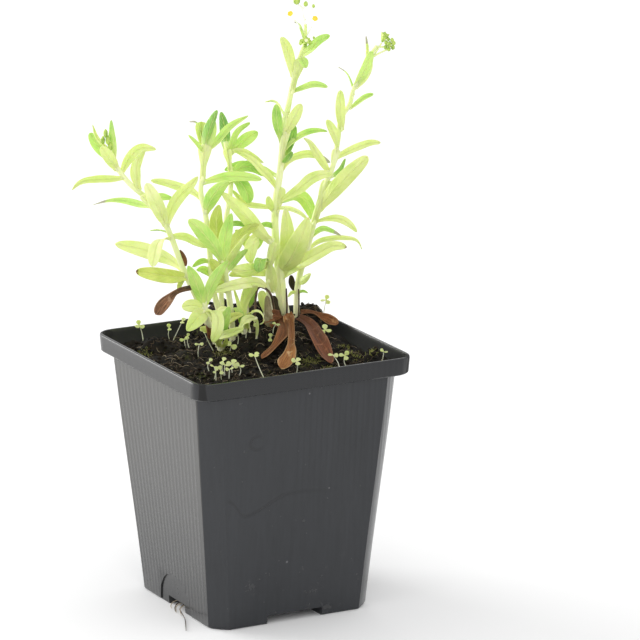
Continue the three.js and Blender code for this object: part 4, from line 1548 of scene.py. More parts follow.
STEMS = (
    Stem("tall_stem", (1.85, 0.85), (
        (12.5, 27, 95), (12.3, 27, 100), (10, 27, 114.5), (8.5, 25, 129), (8, 23, 145), (10, 21, 160.5),
        (11.5, 19, 176.5), (13.5, 18, 188), (16, 17, 200), (19.5, 16, 210.5)
    ), (
        leaf(SPOON, DARK, 3.9, (1, 0, 0), (10.5, 20, 171), (9, 16, 180), (8.5, 15, 187.5)),
        leaf(SPOON, LIME, 4.5, (0.9, 0, -0.4), (11.5, 19, 174), (14.5, 15, 180.5), (18, 13, 188)),
        leaf(SLIM, LIME, 3.0, (0.5, 0.3, 0.8), (9, 22, 153), (6, 20, 158), (3, 18, 161.5), (-0.5, 17, 165.5),
             (-8, 15, 170)),
        leaf(SPOON, FRESH, 3.7, (0, 0.3, 0.95), (9.5, 21, 158), (4, 25, 160), (-1.5, 28, 160.5),
             (-5, 30, 160.5), (-11.5, 32, 158)),
        leaf(SPOON, LIME, 4.4, (-0.3, 0.3, 0.9), (8.5, 23, 147.5), (13.5, 19, 151.5), (18, 17, 155),
             (22, 15, 159), (27, 13, 161), (30, 12, 161)),
        leaf(RUFFLED, FRESH, 5.2, (0.7, 0.1, 0.7), (8.5, 23, 146.5), (13, 28, 148), (17.5, 32, 148),
             (21, 34, 143), (22.5, 34, 137.5)),
        leaf(LANCE, PALE, 5.6, (1, 0, 0), (10, 25, 122), (12.2, 21, 130), (12.6, 17.5, 137), (11.9, 15, 148)),
        leaf(LANCE, LIME, 8.2, (0.9, 0, -0.4), (9.5, 26, 120), (13.2, 16, 126.5), (16.8, 9, 135.5),
             (20.8, 6, 146.5), tip=ORANGE),
        leaf(STRAP, LIME, 5.2, (-0.2, 0.4, 0.9), (10, 26, 117.5), (14.5, 20, 123), (19.5, 16, 127),
             (25, 13, 131), (30.5, 11, 134), (35.5, 10, 133.5), tip=BROWN),
        leaf(RUFFLED, LIME, 5, (0, 0.3, 1), (9, 26, 119.5), (5, 29, 119.5), (-1.5, 30, 120), (-9, 29, 120)),
    ), (
        leaf(STRAP, LIME, 4.0, (1, 0, 0.35), (15, 17, 197), (13.8, 16, 204), (12.5, 14, 209),
             (10.5, 12, 213.5)),
        leaf(STRAP, FRESH, 3.6, (-0.3, 0.5, 0.8), (17.6, 16, 205), (21.5, 14, 208.5), (25, 13, 212),
             (28.8, 13, 213.8)),
        leaf(LANCE, FRESH, 3.6, (0.9, 0.3, 0.2), (17.4, 15.5, 205), (18.8, 13.5, 203.6), (19.8, 12.5, 201.4)),
        leaf(FUNNEL, LIME, 4.2, (1, 0, 0.1), (14.6, 16.6, 191), (15.6, 16, 196), (17, 15.4, 201),
             (18, 15.2, 204.5)),
        leaf(STRAP, FRESH, 2.9, (0, 0.7, 0.7), (14, 18, 191), (18.5, 17, 193), (23, 16, 194.5),
             (28, 16, 193.5)),
        leaf(SLIM, LIME, 3.2, (0, 0.96, -0.28), (12, 18, 181), (10.3, 20, 184), (8, 23, 186.3),
             (4, 26, 185.7)),
        leaf(SLIM, FRESH, 3.0, (0, 0.7, 0.5), (11.5, 19, 168.5), (15, 20, 172), (19.5, 22, 174.6),
             (24, 24, 175.2), (28, 26, 174.4)),
        leaf(STRAP, LIME, 3.2, (0, 0.7, 0.7), (10.5, 21, 160.5), (13.5, 24, 163.8), (17.5, 27, 165),
             (22, 30, 164.6), (29, 34, 160.5), tip=GREY),
        leaf(SLIM, LIME, 2.0, (0.5, 0.5, 0.7), (8.5, 23, 144.5), (11.5, 17, 147), (15.5, 13, 147),
             (18.5, 10, 146), (22, 8, 142.5)),
        leaf(STRAP, LIME, 2.4, (0.2, 0.5, 0.8), (8.5, 23, 145.5), (3, 26, 145.5), (-2.5, 28, 146),
             (-6, 29, 148.5), (-8.5, 29, 151.5)),
        leaf(LANCE, DEEP, 3.4, (0.9, 0.2, 0.3), (10.5, 21, 162.5), (12.8, 18, 165.5), (14.5, 16, 169)),
        leaf(STRAP, DEEP, 3.6, (1, 0, 0), (11.8, 21, 165), (13, 21, 169.5), (14.4, 21, 173.5),
             (15.6, 21, 178)),
        leaf(SPOON, LIME, 2.8, (1, 0, 0.2), (8.4, 23, 143), (6.2, 21, 147), (5.4, 20, 151)),
        leaf(LANCE, DARK, 2.2, (0, 0.4, 0.9), (8.6, 24.5, 137), (5, 22, 139.5), (1.5, 20, 139.5)),
        leaf(SLIM, FRESH, 1.1, (1, 0, 0.5), (19, 15, 211.5), (18, 14.8, 215.5), (16.8, 14.5, 217.8),
             (15.2, 14.2, 218.6), tip=GREY),
        leaf(FUNNEL, PALE, 4.4, (1, 0, 0), (10.4, 19.2, 161), (11, 18.4, 168), (12.2, 17.6, 176),
             (13.2, 17, 184)),
        leaf(FUNNEL, PALE, 3.8, (1, 0, 0.2), (8.4, 23.5, 138), (8.6, 22.2, 143), (9.6, 21, 149),
             (10.4, 20.6, 154.5)),
    )),
    Stem("right_stem", (1.3, 0.65), (
        (16, 33, 96), (16, 33, 100), (16.5, 32, 113.5), (20.5, 29, 130), (24, 26, 145), (27, 24, 154.5),
        (30, 22, 163), (31.5, 21, 171.5), (33, 20, 181), (36, 19, 186.5), (37.5, 18, 192.5), (41.5, 16, 199),
        (44, 15, 206.5), (46, 14.4, 209.4)
    ), (
        leaf(STRAP, LIME, 3.8, (1, 0, 0), (33, 20, 176), (32.5, 16, 185), (32.5, 15, 192.8)),
        leaf(STRAP, LIME, 3.2, (0, 0.7, 0.7), (30, 22, 164.5), (35, 26, 166.5), (40, 29, 168),
             (44.5, 31, 169), (48, 33, 168.5)),
        leaf(SLIM, LIME, 3.2, (0.7, 0.2, 0.7), (28.5, 23, 159), (25.5, 19, 165), (23, 16, 169.5),
             (21, 14, 173), (18.5, 13, 175)),
        leaf(STRAP, LIME, 6.2, (-0.65, 0.1, 0.7), (24, 26, 144), (30.5, 20, 153.5), (36, 16, 160.5),
             (40.5, 13, 165.5), (43, 11, 168.5)),
        leaf(LANCE, DARK, 4.6, (0.85, 0.2, -0.5), (24.5, 26, 145.5), (28, 31, 149.5), (31.5, 35, 154.5)),
        leaf(SLIM, LIME, 2.3, (0, 0.7, 0.7), (20.5, 29, 128), (24, 33, 130), (28.5, 36, 130.5),
             (34.5, 39, 130), (39, 41, 128.5), (41, 42, 124.5)),
    ), (
        leaf(STRAP, FRESH, 3.8, (0.9, 0, -0.4), (38, 17.5, 193.5), (41.5, 14, 200), (44.2, 13, 208)),
        leaf(STRAP, LIME, 3.6, (0.8, 0.4, -0.3), (38.2, 18, 192.5), (42, 18, 197.5), (44, 17, 203)),
        leaf(SLIM, LIME, 1.7, (0.7, 0.7, -0.2), (41.8, 16, 200), (42.4, 18, 206), (42, 19, 212.5), tip=GREY),
        leaf(THREAD, FRESH, 1.8, (0.3, 1, -0.1), (37.5, 18, 190), (36.2, 20, 195), (34.6, 21, 198),
             (31.6, 22, 200), tip=GREY),
        leaf(STRAP, FRESH, 2.2, (0, 0.7, 0.7), (36, 19, 184.5), (39.5, 21, 187), (42, 22, 188.6),
             (45, 24, 189.3)),
        leaf(SPOON, LIME, 3.4, (0.8, 0, 0.5), (31.5, 21, 168.5), (31, 18, 173), (29.5, 16, 177.5),
             (27.3, 15, 181.5)),
        leaf(LANCE, DARK, 2.4, (0.6, 0.5, -0.5), (29, 23, 157.5), (32, 27, 159), (34.5, 29, 163.5)),
        leaf(SPOON, LIME, 3.2, (0.2, 0.6, 0.8), (22.5, 27, 139), (28, 23, 141.5), (32.5, 20, 142),
             (36, 18, 140.5), (39, 17, 137.5)),
        leaf(SLIM, FRESH, 2.5, (0, 0.7, 0.7), (21.5, 28, 133), (25.5, 31, 135.5), (28.5, 33, 134.5),
             (33, 35, 132), tip=GREY),
        leaf(LANCE, LIME, 3.0, (-0.3, 0.4, 0.8), (16.5, 32, 114), (19, 27, 117), (21.5, 24, 120)),
        leaf(FUNNEL, LIME, 5.4, (1, 0, 0.1), (22.6, 26, 138.5), (24.6, 24.6, 145), (26.6, 23.4, 151),
             (28.6, 22.4, 156.5)),
        leaf(FUNNEL, PALE, 3.4, (1, 0, 0.3), (28.4, 22.6, 157), (30, 21.4, 163), (31.4, 20.4, 169)),
    )),
    Stem("side_stem", (1.2, 0.9), (
        (6.5, 20, 94), (6.4, 20, 101), (5.5, 20, 114.5), (5.5, 19, 125.5), (7, 18, 135)
    ), (
        leaf(LANCE, LIME, 5.7, (0.7, 0.1, 0.7), (6.5, 18, 133.5), (1.5, 12, 140), (-3, 8, 146.5),
             (-12, 4, 156.5)),
        leaf(SPOON, PALE, 5.8, (0.75, 0.5, 0.4), (6.5, 18, 134.5), (3, 16.5, 136.5), (0, 14.5, 134),
             (-1.5, 13.5, 126.5)),
    ), (
        leaf(STRAP, PALE, 4.4, (0, 0.6, 0.8), (5.5, 20, 114.5), (3, 16, 118), (-2, 9, 120.2),
             (-6.5, 3.6, 120.7), (-10.5, 0, 120.6), (-15.6, -2, 119.2)),
        leaf(STRAP, LIME, 5.0, (0.2, 0, 1), (5.5, 19, 124.5), (2, 12, 125), (-3, 8, 125), (-8.5, 6, 126.5)),
        leaf(FUNNEL, LIME, 5.4, (1, 0, 0.2), (-3.8, 14, 99), (-3.8, 14, 105), (-3.4, 13, 111),
             (-1.5, 11, 115.5), (0.5, 9, 119.5)),
        leaf(DISC, DARK, 4.6, (1, 0, 0), (5.8, 18.8, 126), (4.2, 13, 128.2), (2.9, 10, 128.8),
             (2.2, 8.8, 127.2), (2, 8.4, 124.2)),
        leaf(FUNNEL, PALE, 4.4, (1, 0, 0.2), (5.6, 18.6, 118), (6, 17.6, 124), (7.4, 16.8, 130),
             (8.4, 16.4, 134)),
        leaf(LANCE, LIME, 3.8, (1, 0, 0.2), (7.4, 20, 113.5), (7.2, 18.6, 117), (6.6, 17.6, 121.5),
             (5.6, 16.4, 126.5)),
    )),
    Stem("left_stem", (1.3, 0.95), (
        (-14, 10, 93), (-14.2, 9.8, 96.5), (-18.5, 5, 108.5), (-22, 4, 117.5), (-26, 2, 127),
        (-30, -2, 139.5), (-34, -5, 149.5), (-38, -8, 155.5), (-46, -12, 164), (-51, -15, 172)
    ), (
        leaf(LANCE, LIME, 3.8, (0, 0.5, 0.85), (-48.5, -13, 166.5), (-45, -9, 172.5), (-41.5, -6, 175),
             (-38, -3, 174.5), (-35.5, -1, 173.5)),
        leaf(LANCE, LIME, 3.2, (1, 0.1, -0.2), (-42, -10, 159.5), (-42.5, -15, 166.5), (-42, -18, 172.5),
             (-39, -20, 178)),
        leaf(SLIM, LIME, 3.0, (0, 0.6, 0.8), (-47.5, -13, 165.5), (-52, -17, 166), (-57.5, -20, 166.5),
             (-63, -23, 166), (-66, -25, 163.5)),
        leaf(THREAD, FRESH, 2.8, (0, 0.6, 0.8), (-37.5, -7, 153.2), (-41.5, -3.5, 153.2), (-45.5, 0, 153.4),
             (-49.5, 3, 153.3), (-53.5, 5, 152.7), (-60.3, 8, 150.3), tip=GREY),
        leaf(STRAP, PALE, 5.4, (0.9, 0, 0.45), (-32, -4, 145), (-35, -12, 154.5), (-39, -16, 164.5)),
        leaf(SPOON, PALE, 5.4, (1, 0, 0.3), (-30.5, -2, 140), (-34.5, -9, 140.5), (-36, -13, 137.5),
             (-37, -15, 132)),
        leaf(RUFFLED, LIME, 5.8, (0, 0.3, 0.95), (-26, 2, 127), (-31, 7, 129.5), (-37, 11, 131),
             (-44.5, 14, 132.5), (-52.5, 16, 133.5)),
        leaf(STRAP, OLIVE, 5.5, (0, 0.2, 1), (-24.5, 3, 124), (-31.5, -6, 126.5), (-37.5, -10, 128.5),
             (-43.5, -14, 130.5), tip=BROWN),
    ), (
        leaf(SPOON, FRESH, 4.6, (0.8, 0, 0.6), (-50.5, -15, 171), (-55, -12, 175.5), (-60, -10, 182)),
        leaf(STRAP, LIME, 4.4, (0.9, 0, 0.5), (-49.5, -14, 168.5), (-52, -19, 174), (-55, -22, 179.5)),
        leaf(FOLDED, FRESH, 2.8, (1, 0.3, 0), (-50.5, -15, 172), (-50.7, -17, 180), (-51.5, -17, 188.5)),
        leaf(LANCE, DARK, 1.8, (1, 0.3, 0), (-51.5, -15, 173.5), (-52, -12, 177.5), (-52.5, -11, 183)),
        leaf(LANCE, FRESH, 3.0, (0, 0.5, 0.85), (-38.5, -8, 156), (-34.5, -3, 156), (-29.5, 1, 154.5)),
        leaf(LANCE, PALE, 3.8, (0.9, 0.3, 0), (-41.5, -9, 160), (-43.5, -8, 166), (-42, -6, 171),
             (-39.5, -4, 174.5)),
        leaf(LANCE, LIME, 4.6, (0.8, 0, -0.6), (-32, -4, 145), (-30, -2, 151.5), (-27, -1, 156),
             (-23.5, -1, 159.5), (-20, -2, 163.8)),
        leaf(LANCE, DARK, 2.6, (0, 1, -0.2), (-31, -3, 142), (-34.5, 0, 142.5), (-38.5, 2, 142)),
        leaf(LANCE, LIME, 3.4, (0.2, 0.5, 0.8), (-31, -3, 141), (-25.5, 0, 140), (-21.5, 2, 137.5),
             (-17, 3, 135)),
        leaf(LANCE, LIME, 2.8, (0.9, 0.3, 0.3), (-24.5, 3, 124), (-27, 8, 120.5), (-28.5, 10, 116.5)),
        leaf(SLIM, LIME, 1.4, (1, 0.2, 0), (-52.6, -16, 177), (-56.6, -17, 181.5), (-58.4, -17, 186.7)),
        leaf(FUNNEL, PALE, 3.8, (0.9, 0, 0.5), (-31, -3, 142), (-33.6, -6, 148), (-37, -9.4, 154),
             (-41, -12, 159)),
    )),
    Stem("middle_stem", (1.2, 0.9), (
        (-10.5, 15, 93), (-10.7, 15, 97.5), (-15.5, 12, 118.5), (-16.5, 11, 132.5), (-18, 10, 147),
        (-19.5, 9, 155), (-19, 9, 161.5), (-18, 8, 171.5)
    ), (
        leaf(STRAP, LIME, 3.4, (0, 0.6, 0.8), (-19, 10, 152), (-23.5, 14, 154.5), (-27.5, 17, 155),
             (-33, 20, 156), (-39, 22, 156.5)),
        leaf(STRAP, FRESH, 3.8, (0, 0.4, 0.9), (-19, 9, 158.5), (-14, 12, 159.4), (-8.5, 15, 159.6),
             (-3, 15, 159.5), (3.5, 14, 158.6)),
        leaf(LANCE, FRESH, 5.5, (0.85, 0, -0.5), (-18, 10, 146.5), (-15.5, 5, 153.5), (-12, 2, 158.5),
             (-8.5, 0, 161.5)),
    ), (
        leaf(FOLDED, DEEP, 3.8, (0.9, 0.3, -0.4), (-18, 8, 172), (-16, 4, 180), (-13, 2, 188)),
        leaf(FUNNEL, LIME, 4.8, (1, 0.1, 0), (-18.4, 9, 168.5), (-19.2, 11, 174.5), (-19.2, 12, 181.5)),
        leaf(LANCE, FRESH, 3.2, (1, 0.1, 0), (-17.6, 8, 171), (-15.5, 7, 176.5), (-14, 6, 183)),
        leaf(LANCE, FRESH, 2.4, (0.3, 0.8, 0.3), (-18.5, 8, 170.5), (-21, 5, 174.5), (-24, 4, 178)),
        leaf(LANCE, FRESH, 2.4, (0, 0.9, 0.2), (-18.5, 8, 173), (-20, 12, 178), (-21.5, 14, 180.5),
             (-24, 15, 180.5), tip=GREY),
        leaf(SLIM, FRESH, 3.0, (0, 0.6, 0.8), (-17.5, 8, 170.5), (-13, 11, 174.5), (-8.5, 14, 179),
             (-1.5, 17, 182.6)),
        leaf(FUNNEL, LIME, 5.2, (1, 0, 0), (-18.8, 7.8, 160), (-18.5, 7, 165), (-18.2, 6.8, 169),
             (-17.8, 7, 174)),
        leaf(LANCE, OLIVE, 5.6, (1, 0, 0.2), (-16.6, 11, 133), (-13.8, 8, 139), (-13.8, 7, 145),
             (-12.6, 7, 151)),
        leaf(LANCE, DARK, 2.2, (0, 0.3, 0.9), (-16.3, 11, 127.5), (-19, 10, 128.4), (-23, 8, 126.5)),
        leaf(LANCE, FRESH, 2.8, (0, 0.3, 0.9), (-16, 11.5, 122), (-18.5, 11, 124.8), (-21.5, 10, 124.8)),
        leaf(LANCE, FRESH, 3.6, (0.4, 0.3, 0.8), (-15.8, 11.6, 121), (-12, 9, 125), (-8, 8, 127.5)),
    )),
    Stem("rear_stem", (1.1, 0.9), (
        (-12, 22, 93), (-12, 22, 98.5), (-12.5, 22, 122), (-11, 22, 137.5), (-8.5, 23, 157), (-9, 24, 162),
        (-10.5, 24, 171)
    ), (
        leaf(SPOON, DARK, 5.5, (0.9, 0, 0.4), (-9, 23, 155), (-6, 21, 156.5), (-3, 19, 153.5),
             (-1.5, 18, 148.5)),
    ), (
        leaf(FOLDED, DEEP, 4.0, (1, 0.2, 0), (-10, 24, 167), (-10.6, 24, 175), (-12.2, 23, 182.8)),
        leaf(SPOON, FRESH, 4.8, (-0.5, 0.2, 0.8), (-9.5, 24, 165.5), (-6.5, 25, 168.5), (-3, 25, 171.5),
             (1.8, 24, 174.8)),
        leaf(STRAP, FRESH, 2.6, (0.8, 0.3, -0.4), (-10, 24, 166.5), (-8, 21, 171), (-6, 20, 175.5),
             (-1, 19, 179.5)),
        leaf(SLIM, LIME, 2.4, (0, 0.5, 0.9), (-9.5, 24, 167), (-5, 24, 167.4), (0, 23, 165.4), (4, 22, 163)),
        leaf(STRAP, DARK, 4.4, (0, 0.5, 0.9), (-8.6, 23, 157.5), (-5, 25, 160.6), (-1, 26, 160.8),
             (4.6, 27, 157.2)),
        leaf(LANCE, DARK, 2.2, (0, 0.4, 0.9), (-10.6, 22, 138.6), (-6.5, 20, 140.4), (-1.8, 19, 139.2)),
        leaf(FUNNEL, PALE, 3.4, (1, 0, 0), (-8.9, 23, 158.5), (-9.2, 23, 163.5), (-10, 23, 169)),
        leaf(LANCE, DARK, 3.2, (0.3, 0.3, 0.9), (-12.4, 22, 117), (-16, 20, 121), (-21, 18, 123)),
        leaf(LANCE, FRESH, 3.2, (0.4, 0.2, 0.9), (-12.2, 22, 119), (-8.5, 20, 124), (-5, 18, 130.5)),
    )),
    Stem("front_stem", (1.25, 1.0), (
        (-8, 11.5, 93), (-8, 11.4, 98), (-9, 5, 115), (-10, 2, 123), (-11, 0, 130.5)
    ), (
        leaf(SPOON, FRESH, 6.0, (0.76, 0, 0.65), (-11, 0, 129.5), (-14, -5, 137), (-17.5, -8, 142.5),
             (-20.5, -10, 146.5), (-24, -11, 149.5)),
        leaf(LANCE, FRESH, 5.0, (1, 0, 0), (-11, 0, 129.5), (-10.5, 4, 138), (-8, 6, 148)),
    ), (
        leaf(LANCE, LIME, 3.4, (0.4, 0.6, -0.6), (-10.5, 1, 128), (-6.5, -3, 135), (-1.8, -4, 142.6)),
        leaf(LANCE, DARK, 4.2, (0.2, 0.5, -0.8), (-10, 2, 125.5), (-6.5, 3, 130), (-2, 4, 134.5)),
        leaf(LANCE, OLIVE, 4.8, (-0.3, 0.3, 0.9), (-10.8, 1, 130), (-7, 7, 136.5), (-2, 9, 140.5),
             (2.4, 10, 142.6)),
        leaf(LANCE, OLIVE, 4.6, (0.8, 0, 0.5), (-10, 2, 122.5), (-12.8, -1, 127.5), (-16, -3, 132.5)),
        leaf(LANCE, LIME, 3.6, (0.3, 0.3, 0.9), (-9.4, 4, 117.5), (-13, 2, 121.5), (-17, 1, 123.5)),
    )),
    Stem("low_stem", (1.3, 1.1), (
        (-12.5, 6, 92), (-12.6, 5.8, 96.5), (-15.2, 0, 104.5), (-17.6, -5.2, 111), (-18, -6, 116)
    ), (
        leaf(LANCE, FRESH, 5.0, (0.9, 0, 0.4), (-18, -6, 114.5), (-21.5, -11, 126.5), (-24, -13, 132.5)),
        leaf(LANCE, FRESH, 4.5, (0.8, 0, -0.6), (-18, -6, 115), (-14.5, -9.5, 125.5), (-9, -11, 134)),
        leaf(LANCE, LIME, 6.2, (0.8, 0, -0.55), (-18, -6, 113), (-20.5, -14, 112.5), (-24.5, -18, 108.5)),
        leaf(SPOON, LIME, 4.7, (1, 0, 0.1), (-17.5, -6, 113), (-13.5, -12, 113.5), (-13, -15, 109),
             (-15, -16, 103.5)),
    ), (
        leaf(SPOON, LIME, 4.8, (0, 0.2, 1), (-18, -6, 114), (-22, -9, 116), (-26.5, -11, 116)),
        leaf(STRAP, LIME, 3.2, (0.1, 0.4, 0.9), (-15.8, -1.5, 103), (-11.5, -7, 104), (-3.2, -9, 107.5)),
        leaf(LANCE, PALE, 2.6, (0.8, 0, 0.5), (-17.8, -6, 114), (-15.5, -9, 112.5), (-12.7, -10.5, 108.2)),
        leaf(LANCE, FRESH, 5.0, (0.9, 0, -0.3), (-13.6, 3, 98), (-12.2, -3, 104.6), (-10.5, -5, 110),
             (-8.7, -5.5, 115)),
        leaf(LANCE, OLIVE, 2.2, (1, 0, 0), (-12.5, 4, 96), (-13.2, 0, 99.5), (-13.5, -2.5, 102.5)),
        leaf(LANCE, OLIVE, 2.0, (1, 0.2, 0), (-11.5, 4, 96), (-10.4, 0.5, 99), (-10, -1, 101.6)),
        leaf(LANCE, PALE, 2.6, (0.3, 0.3, 0.9), (-14.5, 6, 106), (-12.4, 6, 110.2), (-9.5, 5, 111.6)),
        leaf(LANCE, OLIVE, 3.8, (0.2, 0.3, 0.9), (-10.5, 8, 101), (-9, 5, 106.5), (-7, 4, 108.5),
             (-3.5, 3, 109.5)),
        leaf(LANCE, FRESH, 3.2, (0.7, 0.4, 0.6), (-3.5, 9, 101), (-4.2, 7, 106.5), (-5.5, 5, 110),
             (-7.4, 3, 112)),
        leaf(LANCE, OLIVE, 2.8, (0.8, 0, 0.6), (-3, 9, 101), (-2.2, 7, 106.5), (-1.2, 5, 109.5),
             (0.6, 4, 110.8)),
        leaf(SPOON, LIME, 3.4, (0.4, 0.6, 0.6), (1.2, 6, 107.2), (-2, 3, 107.8), (-5.2, 0, 104.8)),
        leaf(STRAP, PALE, 1.2, (1, 0, 0), (1, 10, 98), (1.4, 7.5, 103.5), (1.2, 6, 107.4)),
        leaf(LANCE, PALE, 2.0, (0, 1, 0.2), (-1.5, 9, 101), (-1.2, 7, 107.5), (1.2, 6, 110), (3.5, 6, 108.1),
             (3.6, 6, 105.6), (2, 6, 104.8)),
        leaf(SLIM, LIME, 1.8, (1, 0.3, 0), (-3.4, 12, 100), (-5.2, 12, 109), (-7.7, 12, 118)),
        leaf(LANCE, FRESH, 3.2, (0.3, 0.8, 0.5), (-9, 16, 102), (-6, 17, 106.5), (-2.5, 17, 108.5)),
        leaf(LANCE, OLIVE, 3.2, (0.3, 0.8, 0.5), (-13, 14, 101), (-18, 13, 104.5), (-21, 12, 104.5)),
        leaf(DISC, PALE, 3.4, (1, 0, 0), (4, 22, 104), (3.2, 22, 109), (3, 22, 114)),
        leaf(LANCE, LIME, 3.0, (0.4, 0.3, 0.8), (-12.6, 5, 100), (-15.5, 2, 103.2), (-20, -1, 105.5)),
    )),
    Stem("inner_stem", (1.0, 0.8), (
        (-3, 22, 93), (-3, 22, 98.5), (-2.5, 22, 112), (-1, 22, 125), (-0.5, 22, 131.5)
    ), (
    ), (
        leaf(LANCE, DARK, 3.6, (0.9, 0, -0.4), (-2.5, 22, 107), (-1, 18, 112.5), (1, 16, 117)),
        leaf(LANCE, LIME, 4.2, (0.8, 0, 0.5), (-0.6, 22, 128), (-3, 20, 134), (-7, 18, 138.5)),
        leaf(LANCE, FRESH, 4.2, (0.8, 0, -0.5), (-0.6, 22, 129), (1.6, 20, 134), (3.4, 19, 138)),
        leaf(LANCE, LIME, 3.6, (0.4, 0.2, 0.9), (-1.6, 22, 119), (-5, 19, 121.5), (-9.5, 17, 121)),
    ), in_frame=False),
)

AMBER = Withered(screen(186, 124, 62), screen(120, 70, 36), screen(232, 200, 150), "withered_amber")
RUST = Withered(screen(164, 102, 54), screen(92, 54, 28), screen(200, 150, 100), "withered_rust")
UMBER = Withered(screen(148, 84, 50), screen(82, 46, 27), screen(188, 130, 90), "withered_umber")
PITCH = Withered(screen(68, 58, 26), screen(39, 32, 16), screen(100, 86, 48), "withered_pitch")
KHAKI = Withered(screen(186, 174, 132), screen(134, 120, 86), screen(214, 204, 164), "withered_khaki")
FAWN = Withered(screen(182, 130, 94), screen(74, 54, 36), screen(208, 170, 136), "withered_fawn")

CROWN_LEAVES = (
    leaf(STRAP, CREAM, 4.3, (1, 0, 0.1), (11.4, 25.4, 103.5), (10.3, 24.4, 110), (9.7, 23.4, 117),
         (9.2, 22.6, 124)),
    leaf(SLIM, FRESH, 1.2, (0, 0.5, 0.8), (16.6, 31, 110.6), (18.5, 30.5, 111.4), (20.4, 30, 110.8)),
    leaf(SLIM, LIME, 1.4, (0, 0.5, 0.8), (16, 31.4, 110.4), (14.3, 30.4, 110.9), (12.7, 29, 109.4)),
    leaf(SLIM, DARK, 1.3, (0.9, 0, 0.3), (16.6, 33.2, 111.5), (17.5, 34.6, 115.5), (18.8, 35, 119.8)),
)

WITHERED_LEAVES = (
    (leaf(PADDLE, FRESH, 6.2, (1, 0.2, 0), (13.6, 20, 103.8), (14.1, 10, 101.4), (14.1, -2, 99.2),
          (13.4, -13, 97.6), (10.6, -26, 95.8)), AMBER),
    (leaf(CRUMPLED, FRESH, 4.6, (0.8, 0.5, 0.2), (10, 22, 103), (11.6, 12, 101.8), (9.8, 2, 98.9),
          (6, -6.5, 97.2), (3, -12, 96.2)), RUST),
    (leaf(CRUMPLED, FRESH, 5.8, (0.8, 0.5, 0.3), (16.5, 25, 102.4), (20.5, 19, 101.8), (24, 8, 99.2),
          (27, -5, 97), (29.2, -18, 96)), UMBER),
    (leaf(RIBBON, FRESH, 4.0, (0, 0.7, 0.7), (17.5, 29, 103.5), (21.5, 30, 103.4), (26, 29.5, 101.4),
          (32, 28, 99)), RUST),
    (leaf(RIBBON, FRESH, 4.8, (0.5, 0, -0.9), (-22.9, -2.4, 121.3), (-28.1, -6, 120.7), (-31.1, -9, 119),
          (-34.6, -12.5, 116), (-36.2, -14, 113.6)), FAWN),
)

DEAD_SHEATHS = (
    (leaf(CRUMPLED, FRESH, 5.4, (0.8, 0.4, 0.2), (10.6, 22, 104), (8.8, 20, 102.2), (7, 17, 100)), RUST),
    (leaf(CRUMPLED, FRESH, 5.0, (0.3, 0.6, 0.7), (10, 26, 103.6), (7, 22, 103.2), (3.6, 20, 101.3)), UMBER),
    (leaf(CRUMPLED, FRESH, 4.4, (0.9, 0.3, 0.3), (13.2, 22, 105), (13.4, 18, 103), (13.6, 14, 101)), AMBER),
    (leaf(STRAP, FRESH, 3.0, (1, 0, 0.2), (5.6, 18.4, 96), (5.5, 18, 104), (4.9, 18, 113.2)), KHAKI),
    (leaf(CRUMPLED, FRESH, 4.4, (0.2, 0.5, 0.8), (10, 21, 104.6), (7, 19.6, 104.4),
          (3.8, 18.6, 102.8)), RUST),
    (leaf(CRUMPLED, FRESH, 2.2, (0.9, 0.3, 0.1), (-27.4, 0.4, 134.8), (-25.8, 1, 131.6),
          (-25, 1.4, 128.4)), RUST),
    (leaf(CRUMPLED, FRESH, 2.2, (1, 0.3, 0.1), (-17.5, -1, 108), (-16.6, -2.4, 105), (-16, -1, 101)), RUST),
    (leaf(CRUMPLED, FRESH, 2.5, (1, 0, 0.2), (15.4, 32.3, 111), (14.4, 33.2, 113.3),
          (13.9, 33.6, 117)), PITCH),
    (leaf(CRUMPLED, FRESH, 3.8, (1, 0.2, 0.1), (9, 24.4, 98), (8.4, 24.2, 104.5), (7.3, 23.8, 111.6)), PITCH),
)

DEAD_STALKS = (
    (((-0.4, 17, 96), (0.3, 17, 104), (0.5, 17, 109.5), (0.8, 17, 112.9), (2.1, 17, 116.4), (3.8, 17, 116.1),
      (5.2, 17, 115.2), (6.5, 17.8, 113), (7.2, 19.6, 109.5), (7.8, 21.6, 104)), 0.45),
    (((12.3, 25, 100), (12.4, 24.6, 108), (12.1, 24.4, 114)), 0.35),
    (((16.6, 29.6, 99), (16.9, 29.8, 107), (16.8, 30.2, 112.3)), 0.3),
    (((-19.7, 0.6, 114.6), (-21.3, -1, 118.8), (-22.9, -2.4, 121.3), (-25.5, -4, 121.5)), 0.5),
)


